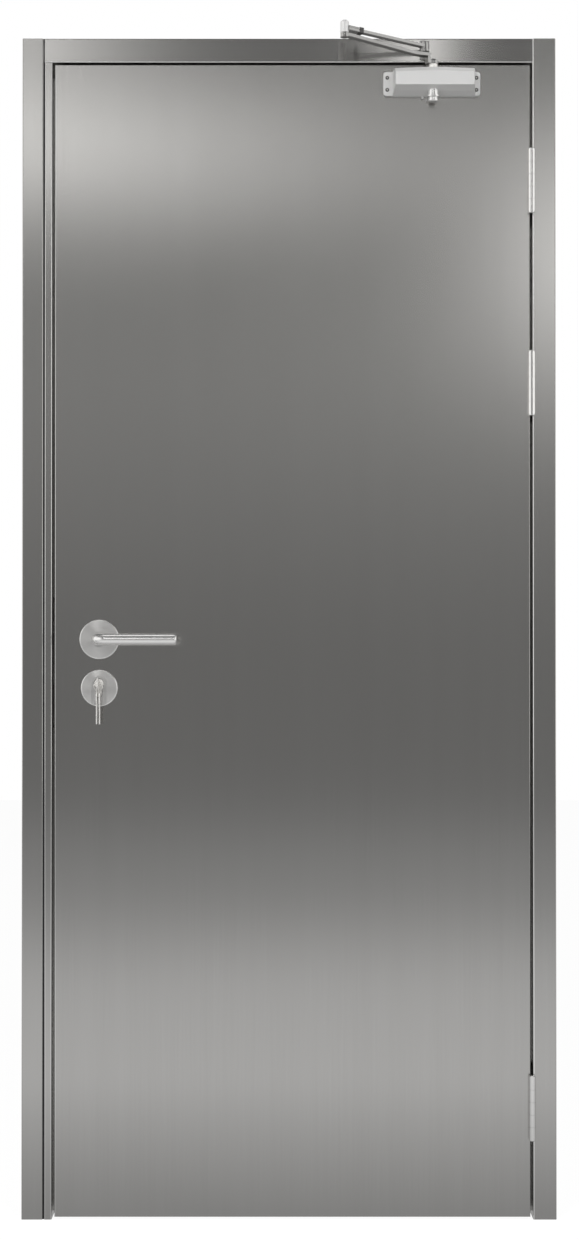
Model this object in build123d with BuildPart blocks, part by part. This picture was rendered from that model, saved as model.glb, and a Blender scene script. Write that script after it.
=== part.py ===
"""Stainless steel fire door: folded frame, flush leaf, butt hinges, lever set, lock and overhead closer.

X runs to the right of someone facing the pull side, -Y runs towards them and +Z is up, in millimetres.
The origin is on the floor, midway between the frame's sides and at mid depth of the threshold.
A depth is measured from the leaf's front face towards that person, so it is negative inside the leaf.
"""

import math
import os

from build123d import *

# Frame
FRAME_WIDTH = 950.0
FRAME_HEIGHT = 2100.0
FRAME_SHEET = 1.5
BEND_RADIUS = 2.0
LOCK_JAMB_FACE = 37.5
HINGE_JAMB_FACE = 41.5
HEAD_FACE = 43.0
WALL_LIP = 18.0
STOP_DEPTH = 55.0
STOP_COVER = 15.0
STRIP_GROOVE = 2.6
STRIP_WIDTH = 13.4
STRIP_LIP = 8.0
THRESHOLD_HEIGHT = 20.0
THRESHOLD_WALL = 2.0
SEAL_WIDTH = 9.0
SEAL_THICKNESS = 2.0
ANCHOR_RADIUS = 5.5
ANCHOR_SPACING = 1500.0
ANCHOR_LOWEST = 300.0

# Leaf
LEAF_THICKNESS = 50.0
LEAF_SKIN = 1.0
LEAF_GAP = 5.0
LEAF_EDGE_RADIUS = 1.5
LEAF_BEVEL = 2.0
SEAM_DEPTH = 25.0

# Butt hinges
HINGE_LENGTH = 110.0
HINGE_PLATE = 2.5
HINGE_PLATE_DEPTH = 36.0
HINGE_AXIS_DEPTH = 7.0
KNUCKLE_RADIUS = 6.3
KNUCKLE_GAP = 0.4
KNUCKLES = 5
PIN_RADIUS = 3.0
PIN_CLEARANCE = 0.05
PIN_HEAD_RADIUS = 5.6
PIN_HEAD_HEIGHT = 3.0
TOP_HINGE_DROP = 207.0
MIDDLE_HINGE_DROP = 567.0
BOTTOM_HINGE_RISE = 194.0

# Lever set
LEVER_HEIGHT = 1029.5
LEVER_BACKSET = 79.5
LEVER_ROSE_RADIUS = 35.0
ROSE_THICKNESS = 8.0
ROSE_RIM_THICKNESS = 5.0
ROSE_EDGE_RADIUS = 1.5
ROSE_COLLAR_RADIUS = 13.5
ROSE_COLLAR_HEIGHT = 2.5
LEVER_RADIUS = 10.2
LEVER_CLEARANCE = 0.08
LEVER_REACH = 140.5
LEVER_STANDOFF = 55.0
LEVER_BEND = 15.0
LEVER_TIP_ROUND = 5.0
SPINDLE_SIDE = 8.0
SPINDLE_GRIP = 25.0
SPINDLE_HOLE_RADIUS = 11.0

# Lock
CYLINDER_DROP = 78.5
CYLINDER_RADIUS = 8.5
CYLINDER_LEG_WIDTH = 10.0
CYLINDER_HEIGHT = 33.0
CYLINDER_PROUD = 10.0
CYLINDER_ROSE_RADIUS = 32.5
CYLINDER_ROSE_DROP = 8.0
ARCH_WIDTH = 27.0
ARCH_HEIGHT = 1.2
PLUG_RADIUS = 6.4
PLUG_CLEARANCE = 0.05
PLUG_DEPTH = 28.0
PLUG_PROUD = 0.6
FACEPLATE_HEIGHT = 235.0
FACEPLATE_WIDTH = 24.0
FACEPLATE_THICKNESS = 3.0
FACEPLATE_CENTRE_DROP = 42.0
BOLT_CLEARANCE = 0.4
BOLT_LENGTH = 26.0
LATCH_HEIGHT = 18.0
LATCH_WIDTH = 12.0
LATCH_RISE = 22.0
DEADBOLT_HEIGHT = 34.0
DEADBOLT_WIDTH = 15.0
DEADBOLT_DROP = 62.0
STRIKE_SLOT_MARGIN = 3.0

# Keys
KEY_THICKNESS = 2.0
KEY_BLADE_HEIGHT = 8.0
KEY_BLADE_LENGTH = 25.0
KEY_NECK_RADIUS = 2.6
KEY_BOW_RADIUS = 11.0
KEY_HOLE_RADIUS = 3.0
KEY_HOLE_RIM = 2.2
RING_RADIUS = 7.8
RING_WIRE_RADIUS = 0.8
RING_GAP = 0.15
RING_SLACK = 1.5
SPARE_KEY_SPREAD = 5.2
SPARE_KEY_THICKNESS = 2.2
SPARE_BOW_LENGTH = 30.0
SPARE_BOW_WIDTH = 18.0
SPARE_BLADE_LENGTH = 33.0
SPARE_HOLE_SEAT = 0.02
KEY_NOTCHES = 5
KEY_NOTCH_RADIUS = 1.6
KEY_NOTCH_PITCH = 4.6
KEY_NOTCH_START = 8.0

# Closer
CLOSER_FROM_HINGE = 177.0
CLOSER_TOP_DROP = 14.0
CLOSER_HEIGHT = 42.0
CLOSER_LENGTH = 172.0
CLOSER_EAR_THICKNESS = 7.0
CLOSER_EAR_RADIUS = 5.0
CLOSER_HOLE_SPACING_X = 158.5
CLOSER_HOLE_SPACING_Z = 21.5
CLOSER_HOLE_RADIUS = 2.8
CLOSER_BODY_LENGTH = 147.0
CLOSER_BODY_OFFSET = 3.5
CLOSER_FRONT_LENGTH = 139.0
CLOSER_PROJECTION = 40.0
CLOSER_CREASE_DROP = 30.5
CLOSER_STEP_DROP = 37.5
CLOSER_STEP_DEPTH = 24.0
CLOSER_BOTTOM_DROP = 42.8
CLOSER_TOP_CHAMFER = 8.0
CLOSER_BOSS_LENGTH = 38.0
CLOSER_BOSS_RISE = 2.3
PINION_DEPTH = 20.0
PINION_OFFSET = 1.5
PINION_RADIUS = 8.0
PINION_CLEARANCE = 0.06
PINION_SOCKET = 22.0
PINION_SQUARE = 10.0
PINION_BOSS_RADIUS = 10.0
PINION_BOSS_DROP = 3.5
PINION_FLANGE_RADIUS = 12.5
PINION_FLANGE_THICKNESS = 2.0
PINION_CAP_RADIUS = 9.0
PINION_CAP_DROP = 13.5
PINION_CAP_ROUND = 2.5
VALVE_RADIUS = 2.2
VALVE_LENGTH = 4.0
VALVE_OFFSET = 18.0

# Closer arms
SHOE_OFFSET = 14.5
SHOE_PIVOT_DEPTH = 16.0
SHOE_WIDTH = 17.0
SHOE_HEIGHT = 34.0
SHOE_SHEET = 3.0
SHOE_LUG_RADIUS = 8.0
SHOE_LUG_THICKNESS = 4.0
SHOE_LUG_RISE = 14.5
SHOE_RIB_DEPTH = 8.0
ELBOW_SIDE = 158.5
ELBOW_DEPTH = 80.0
ELBOW_RADIUS = 7.5
ELBOW_GAP = 0.4
ELBOW_EYE_RISE = 21.4
ELBOW_EYE_HEIGHT = 8.0
ELBOW_BARREL_HEIGHT = 20.0
ARM_THICKNESS = 5.5
ARM_WIDTH = 14.0
ARM_RISE = 4.0
ARM_FLAT = 36.0
ARM_HUB_RADIUS = 9.5
ARM_HUB_RISE = 8.2
ARM_CRANK = 13.0
ARM_SCREW_RADIUS = 5.0
ARM_SCREW_HEIGHT = 3.0
FOREARM_BAR_WIDTH = 12.0
FOREARM_BAR_THICKNESS = 5.0
FOREARM_SLEEVE_WALL = 2.0
FOREARM_SLEEVE_START = 5.0
FOREARM_SLEEVE_LENGTH = 21.0
FOREARM_SLEEVE_ROUND = 2.0
FOREARM_GROOVE_HEIGHT = 2.4
FOREARM_GROOVE_DEPTH = 0.9
FOREARM_CLAMP_WALL = 2.8
FOREARM_CLAMP_LENGTH = 7.0
FOREARM_EYE_RADIUS = 7.0
FOREARM_EYE_HEIGHT = 10.0
FOREARM_ELBOW_RISE = 8.0
SHOE_PIN_RADIUS = 3.0
SHOE_PIN_HEAD_RADIUS = 5.5
SHOE_PIN_HEAD_HEIGHT = 2.5

# Places worked out from the sizes
rebate_depth = LEAF_THICKNESS + LEAF_GAP + SEAL_THICKNESS
frame_depth = rebate_depth + STOP_DEPTH
face_y = -(rebate_depth + STOP_DEPTH / 2)
stop_y = face_y + rebate_depth
back_y = face_y + frame_depth
frame_left = -FRAME_WIDTH / 2
frame_right = FRAME_WIDTH / 2
lock_jamb_edge = frame_left + LOCK_JAMB_FACE
hinge_jamb_edge = frame_right - HINGE_JAMB_FACE
strip_left = lock_jamb_edge + STRIP_GROOVE
strip_right = strip_left + STRIP_WIDTH
leaf_left = strip_right + LEAF_GAP
leaf_right = hinge_jamb_edge - LEAF_GAP
leaf_bottom = LEAF_GAP
head_underside = FRAME_HEIGHT - HEAD_FACE
leaf_top = head_underside - LEAF_GAP
leaf_height = leaf_top - leaf_bottom
stop_left = leaf_left + STOP_COVER
stop_right = leaf_right - STOP_COVER
stop_top = leaf_top - STOP_COVER
leaf_back_y = face_y + LEAF_THICKNESS
seam_y = face_y + SEAM_DEPTH
hinge_x = (leaf_right + hinge_jamb_edge) / 2
hinge_y = face_y - HINGE_AXIS_DEPTH
hinge_heights = {
    "top": leaf_top - TOP_HINGE_DROP,
    "middle": leaf_top - MIDDLE_HINGE_DROP,
    "bottom": leaf_bottom + BOTTOM_HINGE_RISE,
}
knuckle_length = (HINGE_LENGTH - (KNUCKLES - 1) * KNUCKLE_GAP) / KNUCKLES
knuckle_pitch = knuckle_length + KNUCKLE_GAP
lock_x = leaf_left + LEVER_BACKSET
plug_z = LEVER_HEIGHT - CYLINDER_DROP
faceplate_z = LEVER_HEIGHT - FACEPLATE_CENTRE_DROP
latch_z = LEVER_HEIGHT + LATCH_RISE
deadbolt_z = LEVER_HEIGHT - DEADBOLT_DROP
lock_y = face_y + LEAF_THICKNESS / 2
closer_x = hinge_x - CLOSER_FROM_HINGE
closer_top = leaf_top - CLOSER_TOP_DROP
crease_z = closer_top - CLOSER_CREASE_DROP
step_z = closer_top - CLOSER_STEP_DROP
closer_bottom = closer_top - CLOSER_BOTTOM_DROP
boss_top = closer_top + CLOSER_BOSS_RISE
closer_front_y = face_y - CLOSER_PROJECTION
body_x = closer_x + CLOSER_BODY_OFFSET
body_left = body_x - CLOSER_BODY_LENGTH / 2
body_right = body_x + CLOSER_BODY_LENGTH / 2
pinion_x = closer_x + PINION_OFFSET
pinion_y = face_y - PINION_DEPTH
shoe_x = pinion_x - SHOE_OFFSET
shoe_y = face_y - SHOE_PIVOT_DEPTH
elbow_x = pinion_x - ELBOW_SIDE
elbow_y = face_y - ELBOW_DEPTH
elbow_eye_z = head_underside + ELBOW_EYE_RISE
elbow_barrel_z = elbow_eye_z + ELBOW_EYE_HEIGHT + ELBOW_GAP
arm_z = head_underside + ARM_RISE
hub_z = boss_top + ARM_HUB_RISE
hub_top = hub_z + ARM_THICKNESS
shoe_lug_z = head_underside + SHOE_LUG_RISE
forearm_eye_z = shoe_lug_z + SHOE_LUG_THICKNESS + ELBOW_GAP


def front_plane(depth):
    """Upright plane facing the viewer, at a depth in front of the leaf's face."""
    return Plane.XZ.offset(depth - face_y)


def lock_edge_x(y):
    """The leaf's lock edge leans back by the bevel, so its place depends on Y."""
    return leaf_left + LEAF_BEVEL * (y - face_y) / LEAF_THICKNESS


def save(piece, node):
    """Label a finished piece and write it as one STEP file."""
    piece.part.label = node
    export_step(piece.part, f"parts/{node}.step")


os.makedirs("parts", exist_ok=True)

# Lock jamb: folded sheet, open to the wall
with BuildPart() as lock_jamb:
    with BuildSketch():
        with BuildLine():
            FilletPolyline(
                (frame_left, face_y + WALL_LIP),
                (frame_left, face_y),
                (lock_jamb_edge, face_y),
                (lock_jamb_edge, stop_y),
                (stop_left, stop_y),
                (stop_left, back_y),
                (frame_left, back_y),
                (frame_left, back_y - WALL_LIP),
                radius=BEND_RADIUS,
            )
            offset(amount=FRAME_SHEET, side=Side.LEFT)
        make_face()
    extrude(amount=FRAME_HEIGHT)
    with BuildSketch(Plane.YZ.offset(stop_left - 2 * FRAME_SHEET)):
        with Locations((0, ANCHOR_LOWEST), (0, ANCHOR_LOWEST + ANCHOR_SPACING)):
            Circle(ANCHOR_RADIUS)
    extrude(amount=4 * FRAME_SHEET, mode=Mode.SUBTRACT)
save(lock_jamb, "lock_jamb")

# Hinge jamb: the same fold, with a cut-out for each hinge plate
with BuildPart() as hinge_jamb:
    with BuildSketch():
        with BuildLine():
            FilletPolyline(
                (frame_right, face_y + WALL_LIP),
                (frame_right, face_y),
                (hinge_jamb_edge, face_y),
                (hinge_jamb_edge, stop_y),
                (stop_right, stop_y),
                (stop_right, back_y),
                (frame_right, back_y),
                (frame_right, back_y - WALL_LIP),
                radius=BEND_RADIUS,
            )
            offset(amount=FRAME_SHEET, side=Side.RIGHT)
        make_face()
    extrude(amount=FRAME_HEIGHT)
    with BuildSketch(Plane.YZ.offset(stop_right - 2 * FRAME_SHEET)):
        with Locations((0, ANCHOR_LOWEST), (0, ANCHOR_LOWEST + ANCHOR_SPACING)):
            Circle(ANCHOR_RADIUS)
    extrude(amount=4 * FRAME_SHEET, mode=Mode.SUBTRACT)
    with BuildSketch(Plane.YZ.offset(hinge_jamb_edge)):
        with Locations(*[(face_y + HINGE_PLATE_DEPTH / 2, z) for z in hinge_heights.values()]):
            Rectangle(HINGE_PLATE_DEPTH, HINGE_LENGTH)
    extrude(amount=HINGE_PLATE, mode=Mode.SUBTRACT)
save(hinge_jamb, "hinge_jamb")

# Head: the same fold lying between the jambs, notched to clear their bends and meet their stops
notch_depth = STOP_DEPTH + 2 * BEND_RADIUS
with BuildPart() as head:
    with BuildSketch(Plane.YZ.offset(strip_left)):
        with BuildLine():
            FilletPolyline(
                (face_y + WALL_LIP, FRAME_HEIGHT),
                (face_y, FRAME_HEIGHT),
                (face_y, head_underside),
                (stop_y, head_underside),
                (stop_y, stop_top),
                (back_y, stop_top),
                (back_y, FRAME_HEIGHT),
                (back_y - WALL_LIP, FRAME_HEIGHT),
                radius=BEND_RADIUS,
            )
            offset(amount=FRAME_SHEET, side=Side.LEFT)
        make_face()
    extrude(amount=hinge_jamb_edge - strip_left)
    with BuildSketch(Plane.XY.offset(stop_top)):
        with Locations((stop_left, back_y)):
            Rectangle(stop_left - strip_left, notch_depth, align=Align.MAX)
        with Locations((stop_right, back_y)):
            Rectangle(hinge_jamb_edge - stop_right, notch_depth, align=(Align.MIN, Align.MAX))
    extrude(amount=FRAME_HEIGHT - stop_top, mode=Mode.SUBTRACT)
save(head, "head")

# Closing strip beside the lock jamb, a folded channel seated on the stop, with the strike plate's window
strike_width = FACEPLATE_WIDTH
with BuildPart() as lock_side_strip:
    with BuildSketch():
        with BuildLine():
            FilletPolyline(
                (strip_left, face_y + STRIP_LIP),
                (strip_left, face_y),
                (strip_right, face_y),
                (strip_right, stop_y),
                (strip_left, stop_y),
                radius=BEND_RADIUS,
            )
            offset(amount=FRAME_SHEET, side=Side.LEFT)
        make_face()
    extrude(amount=head_underside)
    with BuildSketch(Plane.YZ.offset(strip_right - FRAME_SHEET)):
        with Locations((lock_y, faceplate_z)):
            Rectangle(strike_width, FACEPLATE_HEIGHT)
    extrude(amount=FRAME_SHEET, mode=Mode.SUBTRACT)
save(lock_side_strip, "lock_side_strip")

# Strike plate, flush in the strip, with a slot for each bolt
with BuildPart() as strike_plate:
    with BuildSketch(Plane.YZ.offset(strip_right - FRAME_SHEET)):
        with Locations((lock_y, faceplate_z)):
            Rectangle(strike_width, FACEPLATE_HEIGHT)
        with Locations((lock_y, latch_z)):
            Rectangle(
                LATCH_WIDTH + STRIKE_SLOT_MARGIN, LATCH_HEIGHT + STRIKE_SLOT_MARGIN, mode=Mode.SUBTRACT
            )
        with Locations((lock_y, deadbolt_z)):
            Rectangle(
                DEADBOLT_WIDTH + STRIKE_SLOT_MARGIN,
                DEADBOLT_HEIGHT + STRIKE_SLOT_MARGIN,
                mode=Mode.SUBTRACT,
            )
    extrude(amount=FRAME_SHEET)
save(strike_plate, "strike_plate")

# Threshold: a low box section behind the leaf, between the jambs' stops
with BuildPart() as threshold:
    with BuildSketch(Plane.YZ.offset(stop_left)):
        with Locations((0, THRESHOLD_HEIGHT / 2)):
            Rectangle(STOP_DEPTH, THRESHOLD_HEIGHT)
            Rectangle(
                STOP_DEPTH - 2 * THRESHOLD_WALL,
                THRESHOLD_HEIGHT - 2 * THRESHOLD_WALL,
                mode=Mode.SUBTRACT,
            )
    extrude(amount=stop_right - stop_left)
save(threshold, "threshold")

# Smoke seal on the stops, up one side, across and down the other
with BuildPart() as smoke_seal:
    with BuildSketch(Plane.XZ.offset(-stop_y)):
        with BuildLine():
            Polyline(
                (stop_left, THRESHOLD_HEIGHT),
                (stop_left, stop_top),
                (stop_right, stop_top),
                (stop_right, THRESHOLD_HEIGHT),
            )
            offset(amount=SEAL_WIDTH, side=Side.LEFT)
        make_face()
    extrude(amount=SEAL_THICKNESS)
save(smoke_seal, "smoke_seal")

# Euro profile shared by the cylinder and by every hole that it passes through
leg_round = CYLINDER_LEG_WIDTH / 2
leg_length = CYLINDER_HEIGHT - CYLINDER_RADIUS - leg_round
with BuildSketch(front_plane(0)) as euro_profile:
    with Locations((lock_x, plug_z)):
        Circle(CYLINDER_RADIUS)
    with Locations((lock_x, plug_z - leg_length / 2)):
        Rectangle(CYLINDER_LEG_WIDTH, leg_length)
    with Locations((lock_x, plug_z - leg_length)):
        Circle(leg_round)

# Window in the lock edge for the faceplate, which lies flush along the bevel
faceplate_front_y = lock_y - FACEPLATE_WIDTH / 2
faceplate_back_y = lock_y + FACEPLATE_WIDTH / 2
with BuildSketch(Plane.XY.offset(faceplate_z - FACEPLATE_HEIGHT / 2)) as faceplate_plan:
    with BuildLine():
        Polyline(
            (lock_edge_x(faceplate_front_y), faceplate_front_y),
            (lock_edge_x(faceplate_front_y) + FACEPLATE_THICKNESS, faceplate_front_y),
            (lock_edge_x(faceplate_back_y) + FACEPLATE_THICKNESS, faceplate_back_y),
            (lock_edge_x(faceplate_back_y), faceplate_back_y),
            close=True,
        )
    make_face()

# Hinge plate windows in the leaf's edge
with BuildSketch(Plane.YZ.offset(leaf_right - HINGE_PLATE)) as leaf_mortises:
    with Locations(*[(face_y + HINGE_PLATE_DEPTH / 2, z) for z in hinge_heights.values()]):
        Rectangle(HINGE_PLATE_DEPTH, HINGE_LENGTH)

# Leaf skins: two shallow pans that meet halfway through the leaf's edge
with BuildPart() as leaf_front_skin:
    with BuildSketch(Plane.XY.offset(leaf_bottom)):
        with BuildLine():
            Polyline(
                (leaf_left, face_y),
                (leaf_right, face_y),
                (leaf_right, seam_y),
                (lock_edge_x(seam_y), seam_y),
                close=True,
            )
        make_face()
        fillet(vertices().group_by(Axis.Y)[0], LEAF_EDGE_RADIUS)
    extrude(amount=leaf_height)
    offset(amount=-LEAF_SKIN, openings=faces().sort_by(Axis.Y)[-1])
    extrude(euro_profile.sketch, amount=-2 * LEAF_SKIN, mode=Mode.SUBTRACT)
    with BuildSketch(front_plane(0)):
        with Locations((lock_x, LEVER_HEIGHT)):
            Circle(SPINDLE_HOLE_RADIUS)
    extrude(amount=-2 * LEAF_SKIN, mode=Mode.SUBTRACT)
    extrude(faceplate_plan.sketch, amount=FACEPLATE_HEIGHT, mode=Mode.SUBTRACT)
    extrude(leaf_mortises.sketch, amount=HINGE_PLATE, mode=Mode.SUBTRACT)
save(leaf_front_skin, "leaf_front_skin")

with BuildPart() as leaf_back_skin:
    with BuildSketch(Plane.XY.offset(leaf_bottom)):
        with BuildLine():
            Polyline(
                (lock_edge_x(seam_y), seam_y),
                (leaf_right, seam_y),
                (leaf_right, leaf_back_y),
                (lock_edge_x(leaf_back_y), leaf_back_y),
                close=True,
            )
        make_face()
        fillet(vertices().group_by(Axis.Y)[-1], LEAF_EDGE_RADIUS)
    extrude(amount=leaf_height)
    offset(amount=-LEAF_SKIN, openings=faces().sort_by(Axis.Y)[0])
    with BuildSketch(front_plane(-LEAF_THICKNESS)):
        with Locations((lock_x, LEVER_HEIGHT)):
            Circle(SPINDLE_HOLE_RADIUS)
    extrude(amount=2 * LEAF_SKIN, mode=Mode.SUBTRACT)
    extrude(euro_profile.sketch, amount=-LEAF_THICKNESS, mode=Mode.SUBTRACT)
    extrude(faceplate_plan.sketch, amount=FACEPLATE_HEIGHT, mode=Mode.SUBTRACT)
    extrude(leaf_mortises.sketch, amount=HINGE_PLATE, mode=Mode.SUBTRACT)
save(leaf_back_skin, "leaf_back_skin")

# Core: the fire board that fills the pans, bored for the lock
with BuildPart() as leaf_core:
    with BuildSketch(Plane.XY.offset(leaf_bottom + LEAF_SKIN)):
        with BuildLine():
            Polyline(
                (lock_edge_x(face_y) + 2 * LEAF_SKIN, face_y + LEAF_SKIN),
                (leaf_right - LEAF_SKIN, face_y + LEAF_SKIN),
                (leaf_right - LEAF_SKIN, leaf_back_y - LEAF_SKIN),
                (lock_edge_x(leaf_back_y) + 2 * LEAF_SKIN, leaf_back_y - LEAF_SKIN),
                close=True,
            )
        make_face()
        fillet(vertices(), LEAF_EDGE_RADIUS)
    extrude(amount=leaf_height - 2 * LEAF_SKIN)
    extrude(euro_profile.sketch, amount=-LEAF_THICKNESS, mode=Mode.SUBTRACT)
    with BuildSketch(front_plane(0)):
        with Locations((lock_x, LEVER_HEIGHT)):
            Circle(SPINDLE_HOLE_RADIUS)
    extrude(amount=-LEAF_THICKNESS, mode=Mode.SUBTRACT)
    extrude(faceplate_plan.sketch, amount=FACEPLATE_HEIGHT, mode=Mode.SUBTRACT)
    extrude(leaf_mortises.sketch, amount=HINGE_PLATE, mode=Mode.SUBTRACT)
    with BuildSketch(Plane.YZ.offset(leaf_left)):
        with Locations((lock_y, latch_z)):
            Rectangle(LATCH_WIDTH, LATCH_HEIGHT)
        with Locations((lock_y, deadbolt_z)):
            Rectangle(DEADBOLT_WIDTH, DEADBOLT_HEIGHT)
    extrude(amount=BOLT_LENGTH, mode=Mode.SUBTRACT)
save(leaf_core, "leaf_core")

# Lock faceplate and the two bolts, drawn back flush with it
with BuildPart() as lock_faceplate:
    extrude(faceplate_plan.sketch, amount=FACEPLATE_HEIGHT)
    with BuildSketch(Plane.YZ.offset(leaf_left)):
        with Locations((lock_y, latch_z)):
            Rectangle(LATCH_WIDTH + 2 * BOLT_CLEARANCE, LATCH_HEIGHT + 2 * BOLT_CLEARANCE)
        with Locations((lock_y, deadbolt_z)):
            Rectangle(DEADBOLT_WIDTH + 2 * BOLT_CLEARANCE, DEADBOLT_HEIGHT + 2 * BOLT_CLEARANCE)
    extrude(amount=LEAF_BEVEL + 2 * FACEPLATE_THICKNESS, mode=Mode.SUBTRACT)
save(lock_faceplate, "lock_faceplate")

bolts = {
    "latch_bolt": (latch_z, LATCH_WIDTH, LATCH_HEIGHT),
    "dead_bolt": (deadbolt_z, DEADBOLT_WIDTH, DEADBOLT_HEIGHT),
}
for node, (bolt_z, bolt_width, bolt_height) in bolts.items():
    with BuildPart() as bolt:
        with BuildSketch(Plane.YZ.offset(lock_edge_x(lock_y))):
            with Locations((lock_y, bolt_z)):
                Rectangle(bolt_width, bolt_height)
        extrude(amount=leaf_left + BOLT_LENGTH - lock_edge_x(lock_y))
    save(bolt, node)

# Butt hinges: odd knuckles belong to the frame's plate, even ones to the leaf's
for place, hinge_z in hinge_heights.items():
    hinge_foot = hinge_z - HINGE_LENGTH / 2
    sides = {"frame": (hinge_jamb_edge, 0), "door": (leaf_right - HINGE_PLATE, 1)}
    for side, (plate_x, first_knuckle) in sides.items():
        knuckle_feet = [hinge_foot + i * knuckle_pitch for i in range(first_knuckle, KNUCKLES, 2)]
        with BuildPart() as hinge_leaf:
            with BuildSketch(Plane.XY.offset(hinge_foot)):
                with Locations((plate_x, face_y)):
                    Rectangle(HINGE_PLATE, HINGE_PLATE_DEPTH, align=Align.MIN)
            extrude(amount=HINGE_LENGTH)
            for foot in knuckle_feet:
                with BuildSketch(Plane.XY.offset(foot)):
                    with Locations((hinge_x, hinge_y)):
                        Circle(KNUCKLE_RADIUS)
                    with Locations((plate_x, hinge_y)):
                        Rectangle(HINGE_PLATE, HINGE_AXIS_DEPTH, align=Align.MIN)
                extrude(amount=knuckle_length)
            with BuildSketch(Plane.XY.offset(hinge_foot)):
                with Locations((hinge_x, hinge_y)):
                    Circle(PIN_RADIUS + PIN_CLEARANCE)
            extrude(amount=HINGE_LENGTH, mode=Mode.SUBTRACT)
        save(hinge_leaf, f"hinge_{side}_leaf_{place}")
    with BuildPart() as hinge_pin:
        with BuildSketch(Plane.XY.offset(hinge_foot - PIN_HEAD_HEIGHT)):
            with Locations((hinge_x, hinge_y)):
                Circle(PIN_RADIUS)
        extrude(amount=HINGE_LENGTH + 2 * PIN_HEAD_HEIGHT)
        for head_z in (hinge_foot - PIN_HEAD_HEIGHT, hinge_foot + HINGE_LENGTH):
            with BuildSketch(Plane.XY.offset(head_z)):
                with Locations((hinge_x, hinge_y)):
                    Circle(PIN_HEAD_RADIUS)
            extrude(amount=PIN_HEAD_HEIGHT)
        chamfer(edges().filter_by(GeomType.CIRCLE).group_by(Axis.Z)[-1], PIN_HEAD_HEIGHT / 3)
        chamfer(edges().filter_by(GeomType.CIRCLE).group_by(Axis.Z)[0], PIN_HEAD_HEIGHT / 3)
    save(hinge_pin, f"hinge_pin_{place}")

# Lever roses: a shallow cone with a raised collar that carries the lever's neck
lever_roses = {"lever_rose_front": (0, 1), "lever_rose_back": (-LEAF_THICKNESS, -1)}
for node, (rose_depth, outward) in lever_roses.items():
    with BuildPart() as lever_rose:
        seat_y = face_y - rose_depth
        with BuildSketch(Plane.YZ.offset(lock_x)):
            with BuildLine():
                Polyline(
                    (seat_y, LEVER_HEIGHT),
                    (seat_y, LEVER_HEIGHT + LEVER_ROSE_RADIUS),
                    (seat_y - outward * ROSE_RIM_THICKNESS, LEVER_HEIGHT + LEVER_ROSE_RADIUS),
                    (seat_y - outward * ROSE_THICKNESS, LEVER_HEIGHT + ROSE_COLLAR_RADIUS),
                    (seat_y - outward * ROSE_THICKNESS, LEVER_HEIGHT),
                    close=True,
                )
            make_face()
        revolve(axis=Axis((lock_x, seat_y, LEVER_HEIGHT), (0, 1, 0)))
        rims = edges().filter_by(GeomType.CIRCLE).group_by(SortBy.RADIUS)[-1]
        fillet(rims.sort_by(Axis.Y, reverse=outward > 0)[-1], ROSE_EDGE_RADIUS)
        with BuildSketch(front_plane(rose_depth + outward * ROSE_THICKNESS)):
            with Locations((lock_x, LEVER_HEIGHT)):
                Circle(ROSE_COLLAR_RADIUS)
        extrude(amount=outward * ROSE_COLLAR_HEIGHT)
        with BuildSketch(front_plane(rose_depth)):
            with Locations((lock_x, LEVER_HEIGHT)):
                Circle(LEVER_RADIUS + LEVER_CLEARANCE)
        extrude(amount=outward * 2 * ROSE_THICKNESS, mode=Mode.SUBTRACT)
    save(lever_rose, node)

# Levers: a round bar out of the rose, bent square along the leaf, on one square spindle
spindle_reach = LEAF_THICKNESS / 2 + SPINDLE_GRIP
levers = {"lever_front": (0, 1), "lever_back": (-LEAF_THICKNESS, -1)}
for node, (lever_depth, outward) in levers.items():
    with BuildPart() as lever:
        with BuildLine(Plane.XY.offset(LEVER_HEIGHT)) as lever_path:
            neck_y = face_y - lever_depth
            grip_y = neck_y - outward * LEVER_STANDOFF
            FilletPolyline(
                (lock_x, neck_y - outward),
                (lock_x, grip_y),
                (lock_x + LEVER_REACH, grip_y),
                radius=LEVER_BEND,
            )
        with BuildSketch(Plane(origin=lever_path.line @ 0, z_dir=lever_path.line % 0)):
            Circle(LEVER_RADIUS)
        sweep()
        fillet(edges().sort_by(Axis.X)[-1], LEVER_TIP_ROUND)
        with BuildSketch(front_plane(-LEAF_THICKNESS / 2)):
            with Locations((lock_x, LEVER_HEIGHT)):
                Rectangle(SPINDLE_SIDE, SPINDLE_SIDE)
        extrude(amount=outward * spindle_reach, mode=Mode.SUBTRACT)
    save(lever, node)

with BuildPart() as lever_spindle:
    with BuildSketch(front_plane(-LEAF_THICKNESS / 2)):
        with Locations((lock_x, LEVER_HEIGHT)):
            Rectangle(SPINDLE_SIDE, SPINDLE_SIDE)
    extrude(amount=spindle_reach, both=True)
save(lever_spindle, "lever_spindle")

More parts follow.
